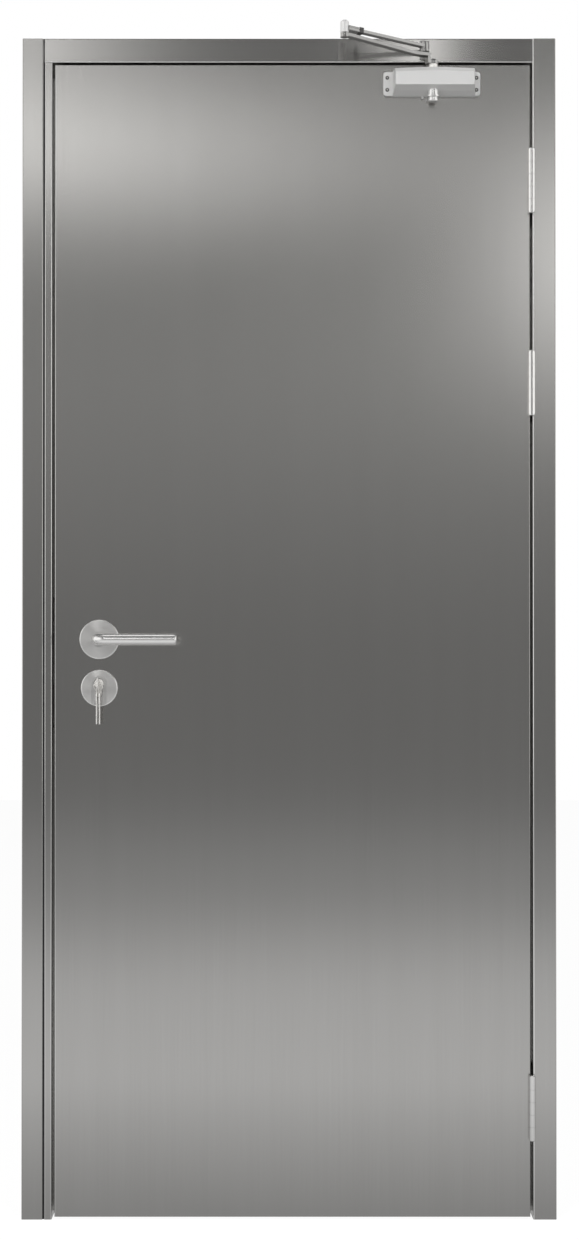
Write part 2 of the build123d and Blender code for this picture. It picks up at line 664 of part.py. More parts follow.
# Cylinder roses: the same cone with a raised arch round the cylinder
rose_z = plug_z - CYLINDER_ROSE_DROP
cylinder_roses = {"cylinder_rose_front": (0, 1), "cylinder_rose_back": (-LEAF_THICKNESS, -1)}
for node, (rose_depth, outward) in cylinder_roses.items():
    with BuildPart() as cylinder_rose:
        seat_y = face_y - rose_depth
        with BuildSketch(Plane.YZ.offset(lock_x)):
            with BuildLine():
                Polyline(
                    (seat_y, rose_z),
                    (seat_y, rose_z + CYLINDER_ROSE_RADIUS),
                    (seat_y - outward * ROSE_RIM_THICKNESS, rose_z + CYLINDER_ROSE_RADIUS),
                    (seat_y - outward * ROSE_THICKNESS, rose_z + ROSE_COLLAR_RADIUS),
                    (seat_y - outward * ROSE_THICKNESS, rose_z),
                    close=True,
                )
            make_face()
        revolve(axis=Axis((lock_x, seat_y, rose_z), (0, 1, 0)))
        rims = edges().filter_by(GeomType.CIRCLE).group_by(SortBy.RADIUS)[-1]
        fillet(rims.sort_by(Axis.Y, reverse=outward > 0)[-1], ROSE_EDGE_RADIUS)
        with BuildSketch(front_plane(rose_depth)):
            with Locations((lock_x, plug_z)):
                Circle(ARCH_WIDTH / 2)
            with Locations((lock_x, plug_z)):
                Rectangle(ARCH_WIDTH, 2 * CYLINDER_ROSE_RADIUS, align=(Align.CENTER, Align.MAX))
            with Locations((lock_x, rose_z)):
                Circle(CYLINDER_ROSE_RADIUS - ROSE_EDGE_RADIUS, mode=Mode.INTERSECT)
        extrude(amount=outward * (ROSE_THICKNESS + ARCH_HEIGHT))
        extrude(euro_profile.sketch, amount=2 * LEAF_THICKNESS, both=True, mode=Mode.SUBTRACT)
    save(cylinder_rose, node)

# Lock cylinder right through the leaf, bored for the plug
with BuildPart() as lock_cylinder:
    extrude(euro_profile.sketch, amount=CYLINDER_PROUD)
    extrude(euro_profile.sketch, amount=-LEAF_THICKNESS - CYLINDER_PROUD)
    with BuildSketch(front_plane(CYLINDER_PROUD)):
        with Locations((lock_x, plug_z)):
            Circle(PLUG_RADIUS + PLUG_CLEARANCE)
    extrude(amount=-PLUG_DEPTH, mode=Mode.SUBTRACT)
save(lock_cylinder, "lock_cylinder")

# Plug, with its keyway cut to the key's blade
plug_face_depth = CYLINDER_PROUD + PLUG_PROUD
plug_length = PLUG_DEPTH + PLUG_PROUD - BOLT_CLEARANCE
with BuildPart() as cylinder_plug:
    with BuildSketch(front_plane(plug_face_depth)):
        with Locations((lock_x, plug_z)):
            Circle(PLUG_RADIUS)
    extrude(amount=-plug_length)
    with BuildSketch(front_plane(plug_face_depth)):
        with Locations((lock_x, plug_z)):
            Rectangle(KEY_THICKNESS, KEY_BLADE_HEIGHT)
    extrude(amount=-KEY_BLADE_LENGTH, mode=Mode.SUBTRACT)
save(cylinder_plug, "cylinder_plug")

# Key in the plug: a round neck, then a round bow that stands edge-on
ring_depth = ROSE_THICKNESS + ARCH_HEIGHT + LEAF_GAP + SPARE_BOW_WIDTH / 2
bow_depth = ring_depth + RING_WIRE_RADIUS + RING_SLACK + KEY_BOW_RADIUS
bow_y = face_y - bow_depth
key_hole_y = bow_y - KEY_BOW_RADIUS + KEY_HOLE_RADIUS + KEY_HOLE_RIM
with BuildPart() as key:
    with BuildSketch(Plane.YZ.offset(lock_x)):
        with Locations((bow_y, plug_z)):
            Circle(KEY_BOW_RADIUS)
        with Locations((key_hole_y, plug_z)):
            Circle(KEY_HOLE_RADIUS, mode=Mode.SUBTRACT)
        with Locations((face_y - plug_face_depth, plug_z)):
            Rectangle(KEY_BLADE_LENGTH, KEY_BLADE_HEIGHT, align=(Align.MIN, Align.CENTER))
    extrude(amount=KEY_THICKNESS / 2, both=True)
    with BuildSketch(front_plane(plug_face_depth)):
        with Locations((lock_x, plug_z)):
            Circle(KEY_NECK_RADIUS)
    extrude(amount=bow_depth - KEY_BOW_RADIUS + KEY_NECK_RADIUS - plug_face_depth)
save(key, "key")

# Key ring hung over the key's neck, and two spare keys that hang edge-on from it
ring_y = face_y - ring_depth
ring_z = plug_z + KEY_NECK_RADIUS + RING_GAP + RING_WIRE_RADIUS - RING_RADIUS
with BuildPart() as key_ring:
    with BuildSketch(Plane.YZ.offset(lock_x)):
        with Locations((ring_y, ring_z + RING_RADIUS)):
            Circle(RING_WIRE_RADIUS)
    revolve(axis=Axis((lock_x, ring_y, ring_z), (0, 1, 0)))
save(key_ring, "key_ring")

spare_outer_side = (SPARE_KEY_SPREAD + SPARE_KEY_THICKNESS) / 2
wire_top_z = ring_z - math.sqrt(RING_RADIUS**2 - spare_outer_side**2) + RING_WIRE_RADIUS
spare_hole_z = wire_top_z - KEY_HOLE_RADIUS - SPARE_HOLE_SEAT
spare_bow_z = spare_hole_z + KEY_HOLE_RADIUS + KEY_HOLE_RIM - SPARE_BOW_LENGTH / 2
highest_notch = spare_bow_z - SPARE_BOW_LENGTH / 2 - KEY_NOTCH_START
notch_heights = [highest_notch - i * KEY_NOTCH_PITCH for i in range(KEY_NOTCHES)]
for node, key_side in (("spare_key_left", -1), ("spare_key_right", 1)):
    with BuildPart() as spare_key:
        with BuildSketch(Plane.YZ.offset(lock_x + key_side * SPARE_KEY_SPREAD / 2)):
            with Locations((ring_y, spare_bow_z)):
                Ellipse(SPARE_BOW_WIDTH / 2, SPARE_BOW_LENGTH / 2)
                Rectangle(
                    KEY_BLADE_HEIGHT,
                    SPARE_BOW_LENGTH / 2 + SPARE_BLADE_LENGTH,
                    align=(Align.CENTER, Align.MAX),
                )
            with Locations((ring_y, spare_hole_z)):
                Circle(KEY_HOLE_RADIUS, mode=Mode.SUBTRACT)
            with Locations(*[(ring_y + KEY_BLADE_HEIGHT / 2, z) for z in notch_heights]):
                RegularPolygon(KEY_NOTCH_RADIUS, 4, mode=Mode.SUBTRACT)
        extrude(amount=SPARE_KEY_THICKNESS / 2, both=True)
    save(spare_key, node)

# Closer body: a cast block with a top that rises to the pinion, a faceted underside and tapered ends
with BuildPart() as closer_body:
    with BuildSketch(front_plane(0)):
        with BuildLine():
            Polyline(
                (body_left, closer_bottom),
                (body_right, closer_bottom),
                (body_right, closer_top),
                (pinion_x + CLOSER_BOSS_LENGTH / 2, boss_top),
                (pinion_x - CLOSER_BOSS_LENGTH / 2, boss_top),
                (body_left, closer_top),
                close=True,
            )
        make_face()
    extrude(amount=CLOSER_PROJECTION)
    front_edges = edges().group_by(Axis.Y)[0]
    chamfer(front_edges.filter_by(lambda edge: edge.center().Z > closer_top), CLOSER_TOP_CHAMFER)
    with BuildSketch(Plane.YZ.offset(body_left)):
        with BuildLine():
            Polyline(
                (face_y - CLOSER_EAR_THICKNESS, closer_bottom),
                (face_y - CLOSER_STEP_DEPTH, step_z),
                (closer_front_y, crease_z),
                (closer_front_y, closer_bottom),
                close=True,
            )
        make_face()
    extrude(amount=CLOSER_BODY_LENGTH, mode=Mode.SUBTRACT)
    end_taper = (CLOSER_BODY_LENGTH - CLOSER_FRONT_LENGTH) / 2
    with BuildSketch(Plane.XY.offset(closer_bottom)):
        with BuildLine():
            Polyline(
                (body_left, face_y - CLOSER_EAR_THICKNESS),
                (body_left + end_taper, closer_front_y),
                (body_left, closer_front_y),
                close=True,
            )
        make_face()
        mirror(about=Plane.YZ.offset(body_x))
    extrude(amount=boss_top - closer_bottom, mode=Mode.SUBTRACT)
    with BuildSketch(front_plane(0)):
        with Locations((closer_x, closer_top - CLOSER_HEIGHT / 2)):
            RectangleRounded(CLOSER_LENGTH, CLOSER_HEIGHT, CLOSER_EAR_RADIUS)
    extrude(amount=CLOSER_EAR_THICKNESS)
    with BuildSketch(front_plane(0)):
        with Locations((closer_x, closer_top - CLOSER_HEIGHT / 2)):
            with GridLocations(CLOSER_HOLE_SPACING_X, CLOSER_HOLE_SPACING_Z, 2, 2):
                Circle(CLOSER_HOLE_RADIUS)
    extrude(amount=CLOSER_EAR_THICKNESS, mode=Mode.SUBTRACT)
    with BuildSketch(Plane.XY.offset(closer_bottom)):
        with Locations((pinion_x - VALVE_OFFSET, face_y - CLOSER_EAR_THICKNESS / 2)):
            Circle(VALVE_RADIUS)
    extrude(amount=-VALVE_LENGTH)
    with BuildSketch(Plane.XY.offset(boss_top)):
        with Locations((pinion_x, pinion_y)):
            Circle(PINION_RADIUS + PINION_CLEARANCE)
    extrude(amount=-PINION_SOCKET, mode=Mode.SUBTRACT)
save(closer_body, "closer_body")

# Boss, flange and round cap under the pinion, seated on the faceted underside
boss_bottom = closer_bottom - PINION_BOSS_DROP
cap_bottom = closer_bottom - PINION_CAP_DROP
socket_floor = boss_top - PINION_SOCKET
with BuildPart() as closer_pinion_cap:
    with BuildSketch(Plane.XY.offset(boss_bottom)):
        with Locations((pinion_x, pinion_y)):
            Circle(PINION_BOSS_RADIUS)
    extrude(amount=socket_floor - boss_bottom)
    with BuildSketch(Plane.XY.offset(boss_bottom)):
        with Locations((pinion_x, pinion_y)):
            Circle(PINION_FLANGE_RADIUS)
    extrude(amount=-PINION_FLANGE_THICKNESS)
    with BuildSketch(Plane.XY.offset(cap_bottom)):
        with Locations((pinion_x, pinion_y)):
            Circle(PINION_CAP_RADIUS)
    extrude(amount=boss_bottom - cap_bottom)
    fillet(edges().group_by(Axis.Z)[0], PINION_CAP_ROUND)
    add(closer_body.part, mode=Mode.SUBTRACT)
save(closer_pinion_cap, "closer_pinion_cap")

# Pinion: round in the body, square in the arm's hub
with BuildPart() as closer_pinion:
    with BuildSketch(Plane.XY.offset(socket_floor + ELBOW_GAP)):
        with Locations((pinion_x, pinion_y)):
            Circle(PINION_RADIUS)
    extrude(amount=hub_z - socket_floor - ELBOW_GAP)
    with BuildSketch(Plane.XY.offset(hub_z)):
        with Locations((pinion_x, pinion_y)):
            Rectangle(PINION_SQUARE, PINION_SQUARE)
    extrude(amount=ARM_THICKNESS)
save(closer_pinion, "closer_pinion")

# Main arm: a flat bar that steps up beside its hub and rises to the eye under the elbow
arm_run = math.hypot(elbow_x - pinion_x, elbow_y - pinion_y)
arm_direction = ((elbow_x - pinion_x) / arm_run, (elbow_y - pinion_y) / arm_run, 0)
arm_normal = (-arm_direction[1], arm_direction[0], 0)
eye_mid_z = elbow_eye_z + ELBOW_EYE_HEIGHT / 2
with BuildPart() as main_arm:
    arm_plane = Plane(origin=(pinion_x, pinion_y, 0), x_dir=arm_direction, z_dir=arm_normal)
    up = 1 if arm_plane.y_dir.Z > 0 else -1
    with BuildSketch(arm_plane):
        with BuildLine():
            Polyline(
                (0, up * hub_top),
                (ARM_CRANK - ARM_THICKNESS, up * hub_top),
                (ARM_CRANK - ARM_THICKNESS, up * (arm_z + ARM_THICKNESS)),
                (ARM_FLAT, up * (arm_z + ARM_THICKNESS)),
                (arm_run - ELBOW_RADIUS, up * (eye_mid_z + ARM_THICKNESS / 2)),
                (arm_run, up * (eye_mid_z + ARM_THICKNESS / 2)),
                (arm_run, up * (eye_mid_z - ARM_THICKNESS / 2)),
                (arm_run - ELBOW_RADIUS, up * (eye_mid_z - ARM_THICKNESS / 2)),
                (ARM_FLAT, up * arm_z),
                (ARM_CRANK, up * arm_z),
                (ARM_CRANK, up * hub_z),
                (0, up * hub_z),
                close=True,
            )
        make_face()
    extrude(amount=ARM_WIDTH / 2, both=True)
    with BuildSketch(Plane.XY.offset(elbow_eye_z)):
        with Locations((elbow_x, elbow_y)):
            Circle(ELBOW_RADIUS)
    extrude(amount=ELBOW_EYE_HEIGHT)
    with BuildSketch(Plane.XY.offset(hub_z)):
        with Locations((pinion_x, pinion_y)):
            Circle(ARM_HUB_RADIUS)
    extrude(amount=ARM_THICKNESS)
    with BuildSketch(Plane.XY.offset(hub_z)):
        with Locations((pinion_x, pinion_y)):
            Rectangle(PINION_SQUARE, PINION_SQUARE)
    extrude(amount=ARM_THICKNESS, mode=Mode.SUBTRACT)
save(main_arm, "main_arm")

with BuildPart() as main_arm_screw:
    with BuildSketch(Plane.XY.offset(hub_top)):
        with Locations((pinion_x, pinion_y)):
            RegularPolygon(ARM_SCREW_RADIUS, 6)
    extrude(amount=ARM_SCREW_HEIGHT)
save(main_arm_screw, "main_arm_screw")

# Shoe on the head's face: plate, side rib, lug and the pin that carries the forearm
shoe_bottom = head_underside + (HEAD_FACE - SHOE_HEIGHT) / 2
with BuildPart() as closer_shoe:
    with BuildSketch(front_plane(0)):
        with Locations((shoe_x, shoe_bottom + SHOE_HEIGHT / 2)):
            RectangleRounded(SHOE_WIDTH, SHOE_HEIGHT, SHOE_SHEET)
    extrude(amount=SHOE_SHEET)
    with BuildSketch(Plane.XY.offset(shoe_lug_z)):
        with Locations((shoe_x, shoe_y)):
            Circle(SHOE_LUG_RADIUS)
            Rectangle(2 * SHOE_LUG_RADIUS, SHOE_PIVOT_DEPTH, align=(Align.CENTER, Align.MIN))
    extrude(amount=SHOE_LUG_THICKNESS)
    with BuildSketch(Plane.YZ.offset(shoe_x + SHOE_WIDTH / 2 - SHOE_SHEET)):
        with Locations((face_y, shoe_bottom + SHOE_HEIGHT / 2)):
            Rectangle(SHOE_RIB_DEPTH, SHOE_HEIGHT - 2 * SHOE_SHEET, align=(Align.MAX, Align.CENTER))
    extrude(amount=SHOE_SHEET)
    with BuildSketch(Plane.XY.offset(shoe_lug_z)):
        with Locations((shoe_x, shoe_y)):
            Circle(SHOE_PIN_RADIUS)
    extrude(amount=SHOE_LUG_THICKNESS + FOREARM_EYE_HEIGHT + 2 * ELBOW_GAP)
    with BuildSketch(Plane.XY.offset(forearm_eye_z + FOREARM_EYE_HEIGHT + ELBOW_GAP)):
        with Locations((shoe_x, shoe_y)):
            Circle(SHOE_PIN_HEAD_RADIUS)
    extrude(amount=SHOE_PIN_HEAD_HEIGHT)
save(closer_shoe, "closer_shoe")

# Forearm: barrel over the elbow, grooved sleeve, clamp and the flat bar that ends in the shoe's eye
forearm_start = Vector(elbow_x, elbow_y, elbow_barrel_z + FOREARM_ELBOW_RISE)
forearm_end = Vector(shoe_x, shoe_y, forearm_eye_z + FOREARM_EYE_HEIGHT / 2)
forearm_line = forearm_end - forearm_start
forearm_direction = forearm_line.normalized()
forearm_across = Vector(-forearm_line.Y, forearm_line.X, 0)
bar_plane = Plane(origin=forearm_start, x_dir=forearm_across, z_dir=forearm_direction)
sleeve_plane = bar_plane.offset(FOREARM_SLEEVE_START)
clamp_plane = sleeve_plane.offset(FOREARM_SLEEVE_LENGTH)
sleeve_width = FOREARM_BAR_WIDTH + 2 * FOREARM_SLEEVE_WALL
sleeve_height = FOREARM_BAR_THICKNESS + 2 * FOREARM_SLEEVE_WALL
clamp_width = FOREARM_BAR_WIDTH + 2 * FOREARM_CLAMP_WALL
clamp_height = FOREARM_BAR_THICKNESS + 2 * FOREARM_CLAMP_WALL

with BuildPart() as elbow_barrel:
    with BuildSketch(Plane.XY.offset(elbow_barrel_z)):
        with Locations((elbow_x, elbow_y)):
            Circle(ELBOW_RADIUS)
    extrude(amount=ELBOW_BARREL_HEIGHT)
    chamfer(edges().group_by(Axis.Z)[-1], FRAME_SHEET)
save(elbow_barrel, "elbow_barrel")

with BuildPart() as forearm_sleeve:
    with BuildSketch(sleeve_plane):
        RectangleRounded(sleeve_width, sleeve_height, FOREARM_SLEEVE_ROUND)
        Rectangle(FOREARM_BAR_WIDTH, FOREARM_BAR_THICKNESS, mode=Mode.SUBTRACT)
        with Locations((-sleeve_width / 2, 0), (sleeve_width / 2, 0)):
            Rectangle(2 * FOREARM_GROOVE_DEPTH, FOREARM_GROOVE_HEIGHT, mode=Mode.SUBTRACT)
    extrude(amount=FOREARM_SLEEVE_LENGTH)
    add(elbow_barrel.part, mode=Mode.SUBTRACT)
save(forearm_sleeve, "forearm_sleeve")

with BuildPart() as forearm_clamp:
    with BuildSketch(clamp_plane):
        RectangleRounded(clamp_width, clamp_height, FOREARM_SLEEVE_ROUND)
        Rectangle(FOREARM_BAR_WIDTH, FOREARM_BAR_THICKNESS, mode=Mode.SUBTRACT)
    extrude(amount=FOREARM_CLAMP_LENGTH)
save(forearm_clamp, "forearm_clamp")

with BuildPart() as forearm_bar:
    with BuildSketch(bar_plane):
        Rectangle(FOREARM_BAR_WIDTH, FOREARM_BAR_THICKNESS)
    extrude(amount=forearm_line.length)
    with BuildSketch(Plane.XY.offset(forearm_eye_z)):
        with Locations((shoe_x, shoe_y)):
            Circle(FOREARM_EYE_RADIUS)
    extrude(amount=FOREARM_EYE_HEIGHT)
    with BuildSketch(Plane.XY.offset(forearm_eye_z)):
        with Locations((shoe_x, shoe_y)):
            Circle(SHOE_PIN_RADIUS + PIN_CLEARANCE)
    extrude(amount=FOREARM_EYE_HEIGHT, mode=Mode.SUBTRACT)
    add(elbow_barrel.part, mode=Mode.SUBTRACT)
save(forearm_bar, "forearm_bar")
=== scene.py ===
"""Stainless steel fire door, dressed for its picture: brushed sheet, plated fittings and studio light.

Metres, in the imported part's own frame: X to the right, -Y towards the viewer, +Z up.
"""

import math

import bmesh
import bpy
from mathutils import Matrix, Vector


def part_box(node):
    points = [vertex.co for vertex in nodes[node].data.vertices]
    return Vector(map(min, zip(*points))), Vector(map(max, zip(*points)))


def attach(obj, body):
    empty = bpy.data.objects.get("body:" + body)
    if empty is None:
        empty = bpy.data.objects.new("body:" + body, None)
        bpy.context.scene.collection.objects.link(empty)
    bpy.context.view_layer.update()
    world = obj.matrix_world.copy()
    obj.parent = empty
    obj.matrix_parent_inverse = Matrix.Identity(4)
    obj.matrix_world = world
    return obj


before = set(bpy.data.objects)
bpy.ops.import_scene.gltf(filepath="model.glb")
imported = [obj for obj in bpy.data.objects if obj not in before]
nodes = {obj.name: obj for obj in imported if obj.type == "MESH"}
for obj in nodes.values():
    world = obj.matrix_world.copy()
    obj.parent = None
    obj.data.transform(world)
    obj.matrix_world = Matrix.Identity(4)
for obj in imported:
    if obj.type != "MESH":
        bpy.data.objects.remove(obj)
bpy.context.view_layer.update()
leaf_low, leaf_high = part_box("leaf_front_skin")

# Colours of the finishes, as linear values
SHEET_LIGHT = (0.565, 0.560, 0.548, 1.0)
SHEET_DARK = (0.492, 0.486, 0.473, 1.0)
# Near white laid over the sheet as painted highlights on folds and rose rims
PAINTED_HIGHLIGHT = (0.930, 0.925, 0.915, 1.0)
SATIN_LIGHT = (0.740, 0.735, 0.725, 1.0)
SATIN_DARK = (0.680, 0.674, 0.663, 1.0)
HINGE_LIGHT = (0.880, 0.875, 0.865, 1.0)
HINGE_DARK = (0.820, 0.814, 0.803, 1.0)
BAR_LIGHT = (0.860, 0.856, 0.847, 1.0)
BAR_DARK = (0.800, 0.795, 0.785, 1.0)
NICKEL_LIGHT = (0.820, 0.806, 0.780, 1.0)
NICKEL_DARK = (0.740, 0.724, 0.695, 1.0)
SILVER_LIGHT = (0.770, 0.768, 0.762, 1.0)
SILVER_DARK = (0.710, 0.708, 0.702, 1.0)
PLATED_LIGHT = (0.480, 0.476, 0.468, 1.0)
PLATED_DARK = (0.360, 0.356, 0.348, 1.0)
SCREW_LIGHT = (0.075, 0.074, 0.072, 1.0)
SCREW_DARK = (0.050, 0.049, 0.048, 1.0)
# Black of the smoke seal, also used for painted shade in the jamb's groove and round the lock cylinder
SEAL_AND_SHADE_LIGHT = (0.022, 0.022, 0.023, 1.0)
SEAL_AND_SHADE_DARK = (0.010, 0.010, 0.011, 1.0)
BOARD_LIGHT = (0.56, 0.53, 0.47, 1.0)
BOARD_DARK = (0.42, 0.39, 0.34, 1.0)
FLOOR_PALE = (0.82, 0.82, 0.82, 1.0)
ROOM_WHITE = (1.0, 0.995, 0.985, 1.0)
WHITE = (1.0, 1.0, 1.0, 1.0)

# Brushing and turning: width and length of a scratch, width of a lathe's ring, depth of the relief
HAIR = 0.0014
HAIR_LENGTH = 0.2
TURNED_RING = (0.0006, 0.0006, 0.0006)
RELIEF_DEPTH = 0.0001
# Least and most roughness of the upright sheet, of the head's sheet and of the roses
SHEET_ROUGH = (0.155, 0.167)
HEAD_ROUGH = (0.172, 0.184)
TURNED_ROUGH = (0.30, 0.34)

# Painted highlights along folds and rims: half width, half width with the fade, depth behind the leaf's
# face
FOLD_CORE = 0.0008
FOLD_FADE = 0.0018
FOLD_DEPTH = 0.002
# How far in from an edge they lie: on strip and head, on the leaf, on the hinge jamb, on a rose
FOLD_INSET = 0.001
LEAF_FOLD_INSET = 0.0008
JAMB_FOLD_INSET = 0.0404
RIM_INSET = 0.0007
# How strongly they show, from 0 to 1
JAMB_FOLD_STRENGTH = 1.0
HEAD_FOLD_STRENGTH = 0.9
STRIP_FOLD_STRENGTH = 0.45
LEAF_FOLD_STRENGTH = 0.4
RIM_STRENGTH = 1.0

# Small pieces: steps in a full turn, distance under which points merge, angle over which edges stay sharp
TURN_STEPS = 28
MERGE_DISTANCE = 1e-6
SHARP_ANGLE = math.radians(35)

# Camera of the photograph: image height at the leaf's face, distance, side, height, tilt and sensor
IMAGE_HEIGHT = 2.2047
CAMERA_DISTANCE = 3.6
CAMERA_SIDE = 0.0009
CAMERA_HEIGHT = 1.0388
CAMERA_TILT = math.radians(0.40)
CAMERA_SENSOR = 36.0


def middle(node):
    """The middle of a CAD node's box."""
    low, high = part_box(node)
    return (Vector(low) + Vector(high)) / 2


def link(tree, source, target):
    """Join two sockets of a node tree."""
    tree.links.new(source, target)


def new_group(name, inputs, outputs):
    """An empty shader node group with named sockets, and its entry and exit nodes."""
    group = bpy.data.node_groups.new(name, "ShaderNodeTree")
    for socket, kind in inputs.items():
        group.interface.new_socket(socket, in_out="INPUT", socket_type=kind)
    for socket in outputs:
        group.interface.new_socket(socket, in_out="OUTPUT", socket_type="NodeSocketFloat")
    return group, group.nodes.new("NodeGroupInput"), group.nodes.new("NodeGroupOutput")


def distance_from_y(tree, vector):
    """How far the end of a vector lies from the Y axis."""
    flat = tree.nodes.new("ShaderNodeVectorMath")
    flat.operation = "MULTIPLY"
    flat.inputs[1].default_value = (1.0, 0.0, 1.0)
    away = tree.nodes.new("ShaderNodeVectorMath")
    away.operation = "LENGTH"
    link(tree, vector, flat.inputs[0])
    link(tree, flat.outputs["Vector"], away.inputs[0])
    return away.outputs["Value"]


def blend_with_drift(group, entry, leave, fine):
    """Send a fine pattern out of its group as height, and as tone with a slow drift laid over it."""
    drift = group.nodes.new("ShaderNodeTexNoise")
    drift.inputs["Scale"].default_value = 0.045
    drift.inputs["Detail"].default_value = 2.0
    blend = group.nodes.new("ShaderNodeMix")
    link(group, entry.outputs["Vector"], drift.inputs["Vector"])
    link(group, entry.outputs["Drift"], blend.inputs[0])
    link(group, fine, blend.inputs[2])
    link(group, drift.outputs["Fac"], blend.inputs[3])
    link(group, blend.outputs[0], leave.inputs["Tone"])
    link(group, fine, leave.inputs["Height"])


def build_grain_group():
    """Fine scratches, as long as the coordinates are stretched."""
    group, entry, leave = new_group(
        "hairline_grain", {"Vector": "NodeSocketVector", "Drift": "NodeSocketFloat"}, ("Tone", "Height")
    )
    hairs = group.nodes.new("ShaderNodeTexNoise")
    hairs.inputs["Scale"].default_value = 1.0
    hairs.inputs["Detail"].default_value = 4.0
    hairs.inputs["Roughness"].default_value = 0.62
    link(group, entry.outputs["Vector"], hairs.inputs["Vector"])
    blend_with_drift(group, entry, leave, hairs.outputs["Fac"])
    return group


def build_turned_group():
    """Fine rings about the Y axis, as a lathe leaves them."""
    group, entry, leave = new_group(
        "turned_rings", {"Vector": "NodeSocketVector", "Drift": "NodeSocketFloat"}, ("Tone", "Height")
    )
    rings = group.nodes.new("ShaderNodeTexNoise")
    rings.noise_dimensions = "1D"
    rings.inputs["Scale"].default_value = 1.0
    rings.inputs["Detail"].default_value = 4.0
    link(group, distance_from_y(group, entry.outputs["Vector"]), rings.inputs["W"])
    blend_with_drift(group, entry, leave, rings.outputs["Fac"])
    return group


def build_handling_group():
    """Soft cloudy marks of wiping and touch, for roughness."""
    group, entry, leave = new_group(
        "handling_marks", {"Vector": "NodeSocketVector", "Size": "NodeSocketFloat"}, ("Mask",)
    )
    clouds = group.nodes.new("ShaderNodeTexNoise")
    clouds.inputs["Detail"].default_value = 3.0
    clouds.inputs["Distortion"].default_value = 0.4
    spread = group.nodes.new("ShaderNodeMapRange")
    spread.interpolation_type = "SMOOTHSTEP"
    spread.inputs["From Min"].default_value = 0.35
    spread.inputs["From Max"].default_value = 0.75
    link(group, entry.outputs["Vector"], clouds.inputs["Vector"])
    link(group, entry.outputs["Size"], clouds.inputs["Scale"])
    link(group, clouds.outputs["Fac"], spread.inputs["Value"])
    link(group, spread.outputs["Result"], leave.inputs["Mask"])
    return group


def build_fold_group():
    """A narrow painted highlight along a fold or rim, as a mask that is strongest at a place across it.
    """
    group, entry, leave = new_group(
        "painted_highlight_line",
        {"Across": "NodeSocketFloat", "Place": "NodeSocketFloat", "Strength": "NodeSocketFloat"},
        ("Mask",),
    )
    offset = group.nodes.new("ShaderNodeMath")
    offset.operation = "SUBTRACT"
    away = group.nodes.new("ShaderNodeMath")
    away.operation = "ABSOLUTE"
    line = group.nodes.new("ShaderNodeMapRange")
    line.interpolation_type = "SMOOTHSTEP"
    line.inputs["From Min"].default_value = FOLD_CORE
    line.inputs["From Max"].default_value = FOLD_FADE
    line.inputs["To Max"].default_value = 0.0
    link(group, entry.outputs["Across"], offset.inputs[0])
    link(group, entry.outputs["Place"], offset.inputs[1])
    link(group, offset.outputs[0], away.inputs[0])
    link(group, away.outputs[0], line.inputs["Value"])
    link(group, entry.outputs["Strength"], line.inputs["To Min"])
    link(group, line.outputs["Result"], leave.inputs["Mask"])
    return group


hairline_grain = build_grain_group()
turned_rings = build_turned_group()
handling_marks = build_handling_group()
painted_highlight_line = build_fold_group()


def metal_finish(
    name,
    light,
    dark,
    grain,
    rough,
    bump,
    marks,
    drift=0.3,
    metallic=1.0,
    pattern=hairline_grain,
    centre=(0, 0, 0),
    anisotropy=0.0,
    lay=None,
    turn=0.0,
):
    """A finish whose tone, relief and roughness follow its grain and its handling marks.

    grain is one scratch's size along each axis, rough the least and most roughness, marks the number of
    handling marks in a metre, lay the axis that the brushing turns about.
    """
    material = bpy.data.materials.new(name)
    material.use_nodes = True
    tree = material.node_tree
    shader = tree.nodes["Principled BSDF"]
    shader.inputs["Metallic"].default_value = metallic
    shader.inputs["Anisotropic"].default_value = anisotropy
    shader.inputs["Anisotropic Rotation"].default_value = turn
    place = tree.nodes.new("ShaderNodeTexCoord")
    stretch = tree.nodes.new("ShaderNodeMapping")
    stretch.vector_type = "TEXTURE"
    stretch.inputs["Location"].default_value = centre
    stretch.inputs["Scale"].default_value = grain
    link(tree, place.outputs["Object"], stretch.inputs["Vector"])
    hairs = tree.nodes.new("ShaderNodeGroup")
    hairs.node_tree = pattern
    hairs.inputs["Drift"].default_value = drift
    link(tree, stretch.outputs["Vector"], hairs.inputs["Vector"])
    tone = tree.nodes.new("ShaderNodeMix")
    tone.data_type = "RGBA"
    tone.inputs[6].default_value = dark
    tone.inputs[7].default_value = light
    link(tree, hairs.outputs["Tone"], tone.inputs[0])
    link(tree, tone.outputs[2], shader.inputs["Base Color"])
    touched = tree.nodes.new("ShaderNodeGroup")
    touched.node_tree = handling_marks
    touched.inputs["Size"].default_value = marks
    link(tree, place.outputs["Object"], touched.inputs["Vector"])
    gloss = tree.nodes.new("ShaderNodeMapRange")
    gloss.inputs["To Min"].default_value = rough[0]
    gloss.inputs["To Max"].default_value = rough[1]
    link(tree, touched.outputs["Mask"], gloss.inputs["Value"])
    link(tree, gloss.outputs["Result"], shader.inputs["Roughness"])
    relief = tree.nodes.new("ShaderNodeBump")
    relief.inputs["Strength"].default_value = bump
    relief.inputs["Distance"].default_value = RELIEF_DEPTH
    link(tree, hairs.outputs["Height"], relief.inputs["Height"])
    link(tree, relief.outputs["Normal"], shader.inputs["Normal"])
    if lay:
        across = tree.nodes.new("ShaderNodeTangent")
        across.direction_type = "RADIAL"
        across.axis = lay
        link(tree, across.outputs["Tangent"], shader.inputs["Tangent"])
    return material


def lay_painted_highlight(tree, mask):
    """Paint a highlight over a finish's own colour wherever a mask shows it."""
    base = tree.nodes["Principled BSDF"].inputs["Base Color"]
    brighter = tree.nodes.new("ShaderNodeMix")
    brighter.data_type = "RGBA"
    brighter.inputs[7].default_value = PAINTED_HIGHLIGHT
    link(tree, mask, brighter.inputs[0])
    link(tree, base.links[0].from_socket, brighter.inputs[6])
    link(tree, brighter.outputs[2], base)


